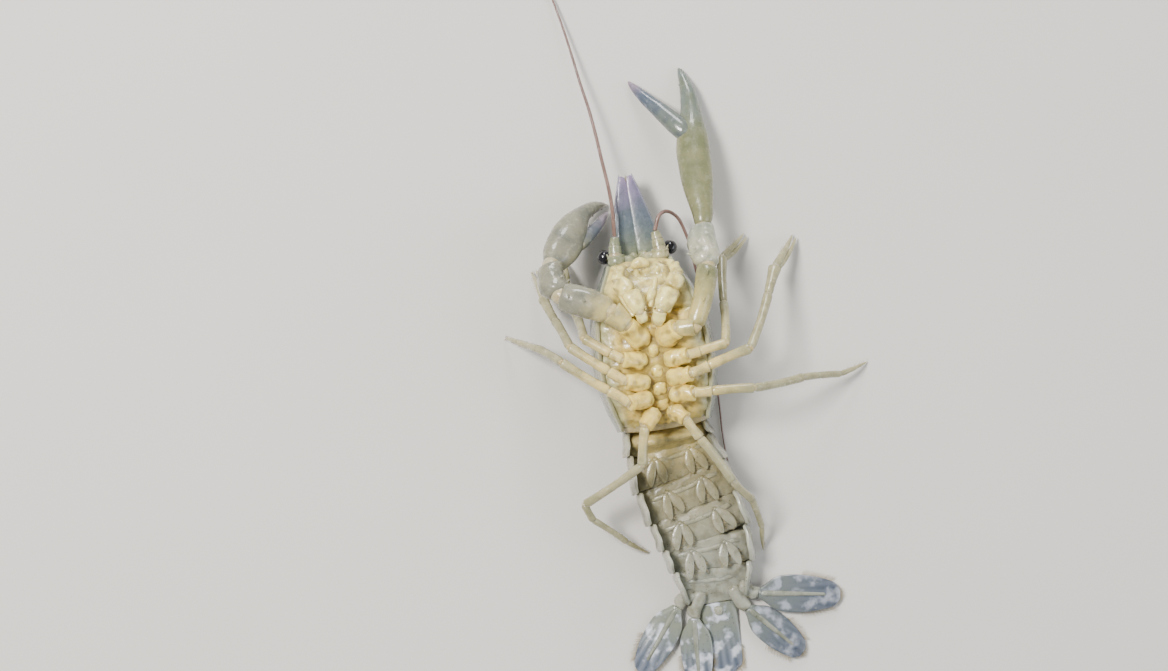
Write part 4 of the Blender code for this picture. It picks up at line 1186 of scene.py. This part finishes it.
def makeFeeler(side):
    front, way = head["front"], ways[side]
    joints = [sided(way, place) for place in head["baseJoints"]]
    base = []
    for number, (wide, endWide, sides) in enumerate(head["baseParts"]):
        base.append(article("feelerBase", joints[number], joints[number + 1], wide, endWide,
                            rootShape if number else coxaShape, sides=sides))
    for (x, ahead, z), wide, thick in head["rootLumps"]:
        piece = lump("lump", (way * x, front + ahead, z), head["lumpRows"], wide, thick)
        base.append(knead(piece, 0.12, 0.7, way * x))
    base.append(spine((way * 4.0, front + 0.7, 7.3), (way * 0.6, 1, 0), 0.3, 1.0))
    paint("feelerRoot", *base)
    base += [jointSkin((way * x, front + ahead, z), wide) for (x, ahead, z), wide in head["baseSkins"]]
    handIn(f"{side}FeelerBase", base, "scale_blue", f"antenna_{side}_base")
    whip = makeWhip("whip", head["feelers"][side], *head["whip"])
    handIn(f"{side}Feeler", [whip], "feeler", f"antenna_{side}_near", f"antenna_{side}_far")


# Along the scale: forward of the head's front, outer and inner edge, half thickness
scaleRows = ((0.0, 4.1, 0.2, 0.3), (1.0, 3.9, 0.0, 0.32), (2.0, 3.66, -0.06, 0.3), (3.0, 3.42, -0.08, 0.27),
             (6.0, 2.72, -0.08, 0.22), (8.6, 2.04, -0.08, 0.18), (10.4, 1.5, -0.06, 0.16), (11.6, 1.12, 0.0, 0.13),
             (12.35, 0.86, 0.28, 0.06))


def scaleHigh(ahead):
    return 5.3 - 0.04 * ahead


def makeScale(side):
    front, way = head["front"], ways[side]
    leafLine, edgeLine, ridgeLine = [], [], []
    for ahead, outer, inner, thin in scaleRows:
        y, z = front + ahead, scaleHigh(ahead)
        leafLine.append(((way * (outer + inner) / 2, y, z + way * 0.06), (outer - inner) / 2, thin))
        edgeLine.append(((way * outer * 0.97, y, z), 0.18, 0.22))
        ridgeLine.append(((way * mix(inner, outer, 0.62), y, z + thin * 0.72), 0.5, 0.08))
    edgeLine[-1] = ((way * 0.9, front + 12.6, 4.78), 0.05, 0.05)
    edge = mark(growLimb("edge", edgeLine, 10), "pale", lambda co: 0.35)
    parts = [growLimb("leaf", leafLine, 24, square=0.85), edge, growLimb("ridge", ridgeLine[:-1], 10)]
    paint("scaleBlue", *parts)
    handIn(f"{side}FeelerScale", parts, "scale_blue", f"antennal_scale_{side}")


for headPart in (makeEye, makeShortFeeler, makeFeeler, makeScale):
    for headSide in ways:
        headPart(headSide)
print("crayfish: head made")


# Tail rings with their side lobes, bars and swimmerets

tail = {
    "lengths": (3.0, 4.7, 4.7, 4.6, 4.4, 5.0), "widths": (6.6, 7.0, 7.6, 7.6, 7.2, 6.4, 4.6),
    "depths": (7.6, 8.2, 8.4, 8.2, 7.6, 6.4, 3.6), "trough": 1.9, "lip": 0.35, "wall": 0.42, "soft": 0.1,
    "shift": 3.6, "bend": 21.0, "gap": 0.3, "tuck": 0.45, "neckRise": 3.5,
    # height of a side lobe's lowest place as a share of the highest, and the share of a ring's length where its bar is
    "lobeLow": 0.76, "barAt": 0.3, "barShares": (-1, -0.8, -0.5, -0.2, 0.2, 0.5, 0.8, 1),
    # forward place and height where the stems of the fan start
    "stemStart": (-24.6, 2.1),
    "shares": (0, 0.12, 0.24, 0.36, 0.46, 0.56, 0.66, 0.78, 0.9, 1.0),
    "fleshShares": (-0.12, 0.0, 0.2, 0.4, 0.6, 0.8, 1.0, 1.06),
}
swimmeret = {
    "behind": 0.9, "aside": 0.5, "sink": 0.12, "leans": (0.16, -0.05, 0.22, 0.04),
    # which way each leaf turns out and how long it is
    "leaves": ((-1.0, 0.92), (1.1, 1.0)),
    # of a leaf: aside, behind, height, half width, half thickness
    "rows": ((0.3, 0.5, 0.84, 0.46, 0.2), (0.62, 1.4, 0.98, 0.7, 0.17), (0.8, 2.2, 1.06, 0.74, 0.14),
             (0.96, 3.0, 1.12, 0.6, 0.12), (1.0, 3.7, 1.16, 0.36, 0.1), (1.0, 4.0, 1.16, 0.1, 0.05)),
}


def tailLine(behind):
    # the middle line of the tail, which swings to the animal's left
    shift = tail["shift"] * ease(behind / tail["bend"])
    slope = (tail["shift"] * ease((behind + 0.1) / tail["bend"]) - shift) / 0.1
    along = Vector((slope, -1, 0)).normalized()
    return Vector((shift, -behind, 0)), along, Vector((-along.y, along.x, 0))


def tailPlace(behind, across, height):
    centre, along, side = tailLine(behind)
    return centre + side * across + up * height


def ringAt(number, share):
    # half width, height of the back, height of the side lobes and height of the flesh
    share = within(share)
    lip = ease((share - 0.45) / 0.4)
    wide = mix(tail["widths"][number], tail["widths"][number + 1], share) * (0.955 + 0.045 * lip)
    edge = mix(tail["depths"][number], tail["depths"][number + 1], share)
    lobe = mix(tail["lobeLow"], 1, max(math.sin(math.pi * mix(0.12, 0.86, share)), 0) ** 0.8)
    return wide, tail["lip"] * (1 - lip), edge * lobe, edge * tail["lobeLow"] - tail["trough"]


def fleshAt(number):
    # half width and height of the flesh where the bar crosses a ring
    wide, back, edge, floor = ringAt(number, tail["barAt"])
    return wide * insideShare - 0.6 - tail["gap"], floor


def ringStarts():
    # how far behind the thorax each ring starts
    return [tail["gap"] + sum(tail["lengths"][:number]) for number in range(len(tail["lengths"]))]


def swimmeretPlaces(number, start):
    # side, place and turn of both swimmerets of a ring
    inner, floor = fleshAt(number)
    side = tailLine(start)[2]
    for way in (-1, 1):
        place = tailPlace(start + swimmeret["behind"], way * inner * swimmeret["aside"], floor - swimmeret["sink"])
        yield way, place, math.atan2(side.y, side.x) + way * swimmeret["leans"][number - 1]


def makeSwimmeret():
    # stalk and two leaves, modelled at the thorax frame's own zero, leaves lying backwards
    parts = [growLimb("stalk", (((0, 0, -0.7), 0.5, 0.44), ((0, -0.08, -0.1), 0.44, 0.4), ((0, -0.2, 0.5), 0.5, 0.42),
                                ((0, -0.3, 1.0), 0.36, 0.34)), 12)]
    for turn, long in swimmeret["leaves"]:
        rows = [((turn * aside, -behind * long, high), wide, thick)
                for aside, behind, high, wide, thick in swimmeret["rows"]]
        parts.append(growLimb("leaf", [((turn * 0.2, -0.1, 0.7), 0.3, 0.22)] + rows))
    for part in parts:
        mark(part, "deep", lambda co: 0.35)
    paint("tailFlesh", *parts)
    return joinPieces("swimmeret", parts)


def copyPiece(piece, place, turn, mirror):
    # a copy with a mesh of its own, mirrored from left to right if asked, turned and moved from zero
    copy = piece.copy()
    copy.data = piece.data.copy()
    bpy.context.scene.collection.objects.link(copy)
    flip = Matrix.Scale(-1 if mirror else 1, 4, (1, 0, 0)) @ Matrix.Translation(-origin)
    copy.data.transform(Matrix.Translation(thorax(place)) @ Matrix.Rotation(turn, 4, "Z") @ flip)
    if mirror:
        copy.data.flip_normals()
    return copy


def fanRoots():
    stems = []
    for name in blades:
        root, along = bladeFrame(name)[:2]
        inner = Vector((mix(tail["shift"], root.x, 0.55), *tail["stemStart"]))
        stem = growLimb("stem", ((inner, 0.9, 0.7), (inner.lerp(root, 0.3), 1.1, 0.9), (root - along * 1.0, 1.0, 0.8),
                                 (root - along * 0.3, 1.05, 0.66), (root + along * 0.1, 0.7, 0.4)), 16)
        stems.append(knead(stem, 0.08, 0.8, root.x))
    return stems


def makeRingCover(number, start, length):
    stations = []
    for share in tail["shares"]:
        wide, back, edge, floor = ringAt(number, share)
        behind = start + length * share
        if share == 0:
            behind -= tail["tuck"]
            wide, back = wide * 0.95, back + 0.25
        centre, along, side = tailLine(behind)
        stations.append(((centre.x, centre.y), math.atan2(side.y, side.x), wide, back, edge))
    cover = growArch("tailRing", stations, 40)
    layFlat(cover)
    thicken(cover, tail)
    rimHigh = max(vertex.co.z for vertex in cover.data.vertices)
    mark(cover, "pale", lambda co: 0.95 - (rimHigh - co.z) / (2.2 * mm))
    return paint("tailShell", cover)


def makeRingFlesh(number, start, length):
    # the flesh between the side lobes; the first ring's rises to the thorax
    rings = []
    for share in tail["fleshShares"]:
        wide, back, edge, floor = ringAt(number, share)
        swell = 0.96 if share in (tail["fleshShares"][0], tail["fleshShares"][-1]) else 1.0
        low, high = back + 0.8, floor + 0.35 + 0.25 * math.sin(math.pi * within(share))
        if number == 0:
            high += tail["neckRise"] * (1 - ease(share / 0.95))
        rings.append((tailPlace(start + length * share, 0, (low + high) / 2),
                      (wide * 0.92 - 0.12) * swell, (high - low) / 2 * swell))
    flesh = growLimb("flesh", rings, 32, 1, square=0.62)
    knead(flesh, 0.3, 1.3, number, 0.6)
    return knead(flesh, 0.1, 0.5, number + 0.5, 0.4)


def makeRingBar(number, start, length):
    # the hard bar across the flesh
    inner, floor = fleshAt(number)
    rods = []
    for share in tail["barShares"]:
        behind = start + length * (tail["barAt"] + 0.03 * math.cos(4 * share))
        rods.append((tailPlace(behind, inner * share, floor + 0.4 - 0.42 * share ** 4), 0.42, 0.34))
    return mark(knead(growLimb("bar", rods, 12), 0.08, 0.6, number), "pale", lambda co: 0.25)


def makeTailRing(number, start, model):
    length = tail["lengths"][number]
    cover = makeRingCover(number, start, length - tail["gap"])
    parts = [makeRingFlesh(number, start, length - tail["gap"]), makeRingBar(number, start, length)]
    if 1 <= number <= 4:
        parts += [copyPiece(model, place, turn, way < 0) for way, place, turn in swimmeretPlaces(number, start)]
    if number == 5:
        parts += fanRoots()
    paint("tailFlesh", *parts)
    handIn(f"tailRing{number + 1}", [cover] + parts, "tail_ring", f"tail_ring_{number + 1}")


# Tail fan: side shift and forward place of the root, turn from straight back, length, width

blades = {
    "uropod_outer_left": (6.0, -26.3, 80.0, 12.0, 5.6),
    "uropod_inner_left": (4.2, -28.2, 42.0, 10.4, 5.0),
    "uropod_inner_right": (-3.7, -28.4, -4.0, 10.2, 4.8),
    "uropod_outer_right": (-5.8, -26.4, -38.0, 11.0, 5.0),
}
bladeForm = {
    "shares": (0, 0.04, 0.1, 0.2, 0.32, 0.44, 0.56, 0.68, 0.78, 0.87, 0.94, 0.98, 1.0), "roll": 0.13,
    # at the root and further out: height of the underside, thickness, half width and half thickness of the ridge
    "under": (0.95, 0.52), "thick": (1.02, 0.52), "ridgeWide": (0.5, 0.16), "ridgeThick": (0.3, 0.12),
    "ridgeShares": (0.02, 0.2, 0.4, 0.6, 0.76, 0.82), "thorn": (0.1, 0.42),
}
telson = {
    "long": 10.8, "half": 2.8,
    # behind its start: height, half width and half thickness of the vent; aside and height of the two thorns
    "vent": ((0.5, 1.3, 0.5, 0.2), (1.1, 1.4, 0.75, 0.28), (2.0, 1.25, 0.4, 0.2)), "thorns": (6.6, 2.45, 0.45),
    "shares": (0, 0.03, 0.1, 0.2, 0.32, 0.44, 0.56, 0.68, 0.78, 0.86, 0.92, 0.97, 1.0),
}


def bladeFrame(name):
    shift, place, turn, long, wide = blades[name]
    root = Vector((tail["shift"] + shift, place, 1.5))
    angle = math.radians(turn)
    along = Vector((math.sin(angle), -math.cos(angle), 0))
    outward = Vector((along.y, -along.x, 0)) * (-1 if turn > 0 else 1)
    return root, along, outward, long, wide


def bladeHalf(wide, share):
    # half width of a side blade
    return wide / 2 * max(math.sin(math.pi * mix(0.1, 0.86, share ** 0.8)), 0) ** 0.75


def telsonHalf(share):
    return telson["half"] * (1 - 0.16 * share) * (1 - 0.75 * ease((share - 0.82) / 0.18) ** 2)


def mapBlade(piece, root, along, across, long):
    # paints a blade and maps how far along and across it a place is, for its ribs and clear rims
    layer = piece.data.uv_layers.new(name="bladeMap")
    start = thorax(root)
    for loop in piece.data.loops:
        away = piece.data.vertices[loop.vertex_index].co - start
        far = away.dot(along) / (long * mm)
        layer.data[loop.index].uv = (far, away.dot(across) / (long * mm) / (max(far, 0.0) + 0.45))
    return paint("blade", piece)


def makeBlade(name):
    look = bladeForm
    root, along, outward, long, wide = bladeFrame(name)
    rings = []
    for share in look["shares"]:
        half = mix(0.85, bladeHalf(wide, share), ease(share / 0.2)) * (1 - 0.5 * ease((share - 0.94) / 0.06))
        low = mix(*look["under"], ease(share / 0.35))
        thick = mix(*look["thick"], share)
        place = root + along * (long * share)
        rings.append(((place.x, place.y, low + thick / 2), half, thick / 2 * (1 - 0.6 * ease((share - 0.8) / 0.2))))
    hinge = -1 if outward.cross(along).z < 0 else 1
    blade = mapBlade(growLimb("blade", rings, 26, roll=hinge * look["roll"]), root, along, outward, long)
    trims = [growLimb("ridge", [
        (root + along * (long * share) + up * (mix(0.95, 0.62, ease(share / 0.35)) - 1.5 + mix(0.95, 0.5, share)),
         mix(*look["ridgeWide"], share), mix(*look["ridgeThick"], share)) for share in look["ridgeShares"]], 10)]
    if "outer" in name:
        # the thorns across the outer blade
        for share in evenly(8):
            spread = mix(-0.8, 0.85, share)
            spot = root + along * (long * (0.72 - 0.05 * spread * spread)) + outward * (wide * 0.46 * spread)
            spot.z = 1.0 - 0.3 * spread
            trims.append(spine(spot, along + up * 0.2, *look["thorn"]))
    paint("tailShell", *trims)
    handIn(name.replace("_", "") + "Blade", [blade] + trims, "tail_fan", name)


def makeTelson():
    start = sum(tail["lengths"]) + tail["gap"]
    rings = []
    for share in telson["shares"]:
        thick = 0.6 + 0.75 * (1 - ease(share / 0.5))
        half = telsonHalf(share) * (0.94 if share == 0 else 1)
        rings.append((tailPlace(start + telson["long"] * share, 0, thick / 2 + 0.02), half, thick / 2))
    first, last = rings[0][0], rings[-1][0]
    along = (last - first).normalized()
    middle = mapBlade(growLimb("telson", rings, 28), first, along, along.cross(up), telson["long"])
    behind, aside, high = telson["thorns"]
    thorns = [spine(tailPlace(start + behind, way * aside, high), (way * 0.5, -1, 0), 0.22, 0.8) for way in (-1, 1)]
    paint("tailShell", *thorns)
    vent = growLimb("vent", [(tailPlace(start + behind, 0, z), wide, thick)
                             for behind, z, wide, thick in telson["vent"]])
    handIn("telsonBlade", [middle, *thorns, paint("tailFlesh", vent)], "tail_fan", "telson")


swimmeretModel = makeSwimmeret()
for ringNumber, ringStart in enumerate(ringStarts()):
    makeTailRing(ringNumber, ringStart, swimmeretModel)
bpy.data.objects.remove(swimmeretModel)
print("crayfish: tail rings made")
for bladeName in blades:
    makeBlade(bladeName)
makeTelson()
print("crayfish: tail fan made")


# Hairs: along the rims of the tail fan, scales and swimmerets, on the jaw legs and on the leg tips

hairs = {
    # half width in millimetres; the map's reach in metres and a hair's share of it
    "thick": 0.022, "sides": 4, "seed": 7, "mapWide": 0.12, "patch": 0.003,
    # how many hairs on each blade, the telson, each scale, jaw leg, last two leg parts and swimmeret leaf,
    # their shortest and longest, and how much their directions scatter
    "blade": (150, 0.7, 1.15, 0.1), "telson": (170, 0.7, 1.1, 0.1), "scale": (110, 0.45, 0.8, 0.12),
    "jaw": (170, 0.35, 0.75, 0.3), "leg": ((16, 26), 0.25, 0.5, 0.15), "leaf": (34, 0.35, 0.7, 0.35),
}
dice = random.Random(hairs["seed"])


def makeHairModel():
    # one hair of length 1 along y, slightly bowed
    hair = drawRing("hair", hairs["sides"], 1 / mm, "NGON", (math.pi / 2, 0, 0))
    editAll()
    for reach, size, bow in ((0.35, 0.86, 0.02), (0.35, 0.74, 0.06), (0.3, 0.25, 0.1)):
        extrudeBy((0, reach, bow))
        bpy.ops.transform.resize(value=(size, 1, size))
    faceOutwards()
    points = np.array([vertex.co[:] for vertex in hair.data.vertices])
    faces = [tuple(face.vertices) for face in hair.data.polygons]
    bpy.data.objects.remove(hair)
    return points, faces


def growHairs(name, roots):
    # roots are place, direction and length; every hair is a copy of the one modelled
    points, faces = makeHairModel()
    allPoints, allFaces, patches = [], [], []
    for place, way, long in roots:
        way = Vector(way).normalized()
        side = Matrix.Rotation(dice.uniform(0, 2 * math.pi), 3, way) @ way.orthogonal().normalized()
        basis = np.array((side * (hairs["thick"] * mm), way * (long * mm), side.cross(way) * (hairs["thick"] * mm)))
        bowed = points.copy()
        bowed[:, 2] += bowed[:, 1] ** 2 * dice.uniform(-1.5, 1.5)
        start = thorax(place)
        first = len(allPoints) * len(points)
        allPoints.append(bowed @ basis + np.array(start[:]))
        allFaces += [tuple(first + corner for corner in face) for face in faces]
        patches.append((start.x / hairs["mapWide"] + 0.5, start.y / hairs["mapWide"] + 0.5))
    mesh = bpy.data.meshes.new(name)
    mesh.from_pydata(np.concatenate(allPoints).tolist(), [], allFaces)
    layer = mesh.uv_layers.new(name="OFBake")
    for loop in mesh.loops:
        number, corner = divmod(loop.vertex_index, len(points))
        u, v = patches[number]
        across, along = points[corner][:2]
        layer.data[loop.index].uv = (u + hairs["patch"] * (0.5 + 0.4 * across), v + hairs["patch"] * along)
    piece = bpy.data.objects.new(name, mesh)
    bpy.context.scene.collection.objects.link(piece)
    pick(paint("hair", piece))
    bpy.ops.object.shade_smooth()
    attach(piece, "root")


def hairAt(kind, place, way):
    # the root of one hair, its direction and length scattered
    count, shortest, longest, scatter = hairs[kind]
    way = Vector(way) + Vector([dice.uniform(-scatter, scatter) for axis in range(3)])
    return place, way, dice.uniform(shortest, longest)


def fanHairs():
    roots = []
    for name in blades:
        root, along, outward, long, wide = bladeFrame(name)
        count = hairs["blade"][0]
        for number in range(count):
            angle = mix(-1.75, 1.75, (number + dice.random()) / count)
            share = 0.56 + 0.42 * math.cos(angle * 0.95)
            spread = math.sin(angle)
            reach = bladeHalf(wide, share) * (0.9 if share >= 0.9 else 0.96 / max(abs(spread), 0.35))
            place = root + along * (long * min(share, 0.985)) + outward * (reach * spread)
            place.z = 0.55 - 0.12 * spread
            way = along * (0.55 + 0.6 * math.cos(angle)) + outward * spread
            roots.append(hairAt("blade", place, way))
    start, count = sum(tail["lengths"]) + tail["gap"], hairs["telson"][0]
    for number in range(count):
        angle = mix(-1.5, 1.5, (number + dice.random()) / count)
        share, spread = min(0.62 + 0.38 * math.cos(angle), 0.995), math.sin(angle)
        across = telsonHalf(share) * 0.97 * spread / max(abs(spread), 0.5)
        place = tailPlace(start + (telson["long"] - 0.05) * share, across, 0.3)
        roots.append(hairAt("telson", place, (spread * 0.7, -1, 0)))
    growHairs("fanHairs", roots)


def scaleHairs():
    roots, count = [], hairs["scale"][0]
    for way in (-1, 1):
        for number in range(count):
            ahead = mix(2.2, 12.0, (number + dice.random()) / count)
            inner = 0.04 + 0.25 * ease((ahead - 11.2) / 1.2)
            place = (way * inner, head["front"] + ahead, scaleHigh(ahead) - 0.18)
            roots.append(hairAt("scale", place, (-way * 0.4, 1, -0.25)))
    growHairs("scaleHairs", roots)


def mouthHairs():
    roots = []
    for side, line in mouth["maxillipeds"].items():
        way = ways[side]
        for number in range(hairs["jaw"][0]):
            place, wide, thick = lineAt(line, dice.uniform(0.6, 4.8))
            place += Vector((-way * wide * 0.85, 0, thick * dice.uniform(-0.2, 0.5)))
            roots.append(hairAt("jaw", place, (-way, 0.45, 0.2)))
    growHairs("mouthHairs", roots)


def legHairs():
    roots = []
    for joints, widths in legs.values():
        for fromEnd, count in zip((3, 2), hairs["leg"][0]):
            index = len(joints) - fromEnd
            start, end = Vector(joints[index]), Vector(joints[index + 1])
            along = (end - start).normalized()
            side = along.cross(up).normalized()
            for number in range(count):
                share = dice.uniform(0.25, 0.98)
                wide = mix(widths[index], widths[index + 1], share) * 0.9
                way = side * dice.choice((-1, 1)) + up * dice.uniform(-0.3, 0.8)
                place = start.lerp(end, share) + way.normalized() * (wide * 0.85)
                roots.append(hairAt("leg", place, way * 0.6 + along))
    growHairs("legHairs", roots)


def leafHairs():
    # along the rims of the swimmeret leaves
    roots, leafLong = [], swimmeret["rows"][-1][1]
    for number, start in list(enumerate(ringStarts()))[1:5]:
        for way, base, turned in swimmeretPlaces(number, start):
            lean = Matrix.Rotation(turned, 3, "Z")
            back, aside = lean @ Vector((0, -1, 0)), lean @ Vector((way, 0, 0))
            for turn, long in swimmeret["leaves"]:
                for step in range(hairs["leaf"][0]):
                    share = dice.uniform(0.3, 1.0)
                    reach = leafLong * long * share
                    middle = turn * mix(0.2, 1.0, share)
                    half = 0.72 * math.sin(math.pi * min(share * 0.95, 1)) ** 0.6
                    edgeWay = dice.choice((-1, 1))
                    place = base + aside * (middle + edgeWay * half) + back * reach + up * (0.75 + 0.4 * share)
                    roots.append(hairAt("leaf", place, back + aside * (edgeWay * 1.1) + up * 0.2))
    growHairs("swimmeretHairs", roots)


fanHairs()
scaleHairs()
mouthHairs()
legHairs()
leafHairs()
print("crayfish: hairs grown")
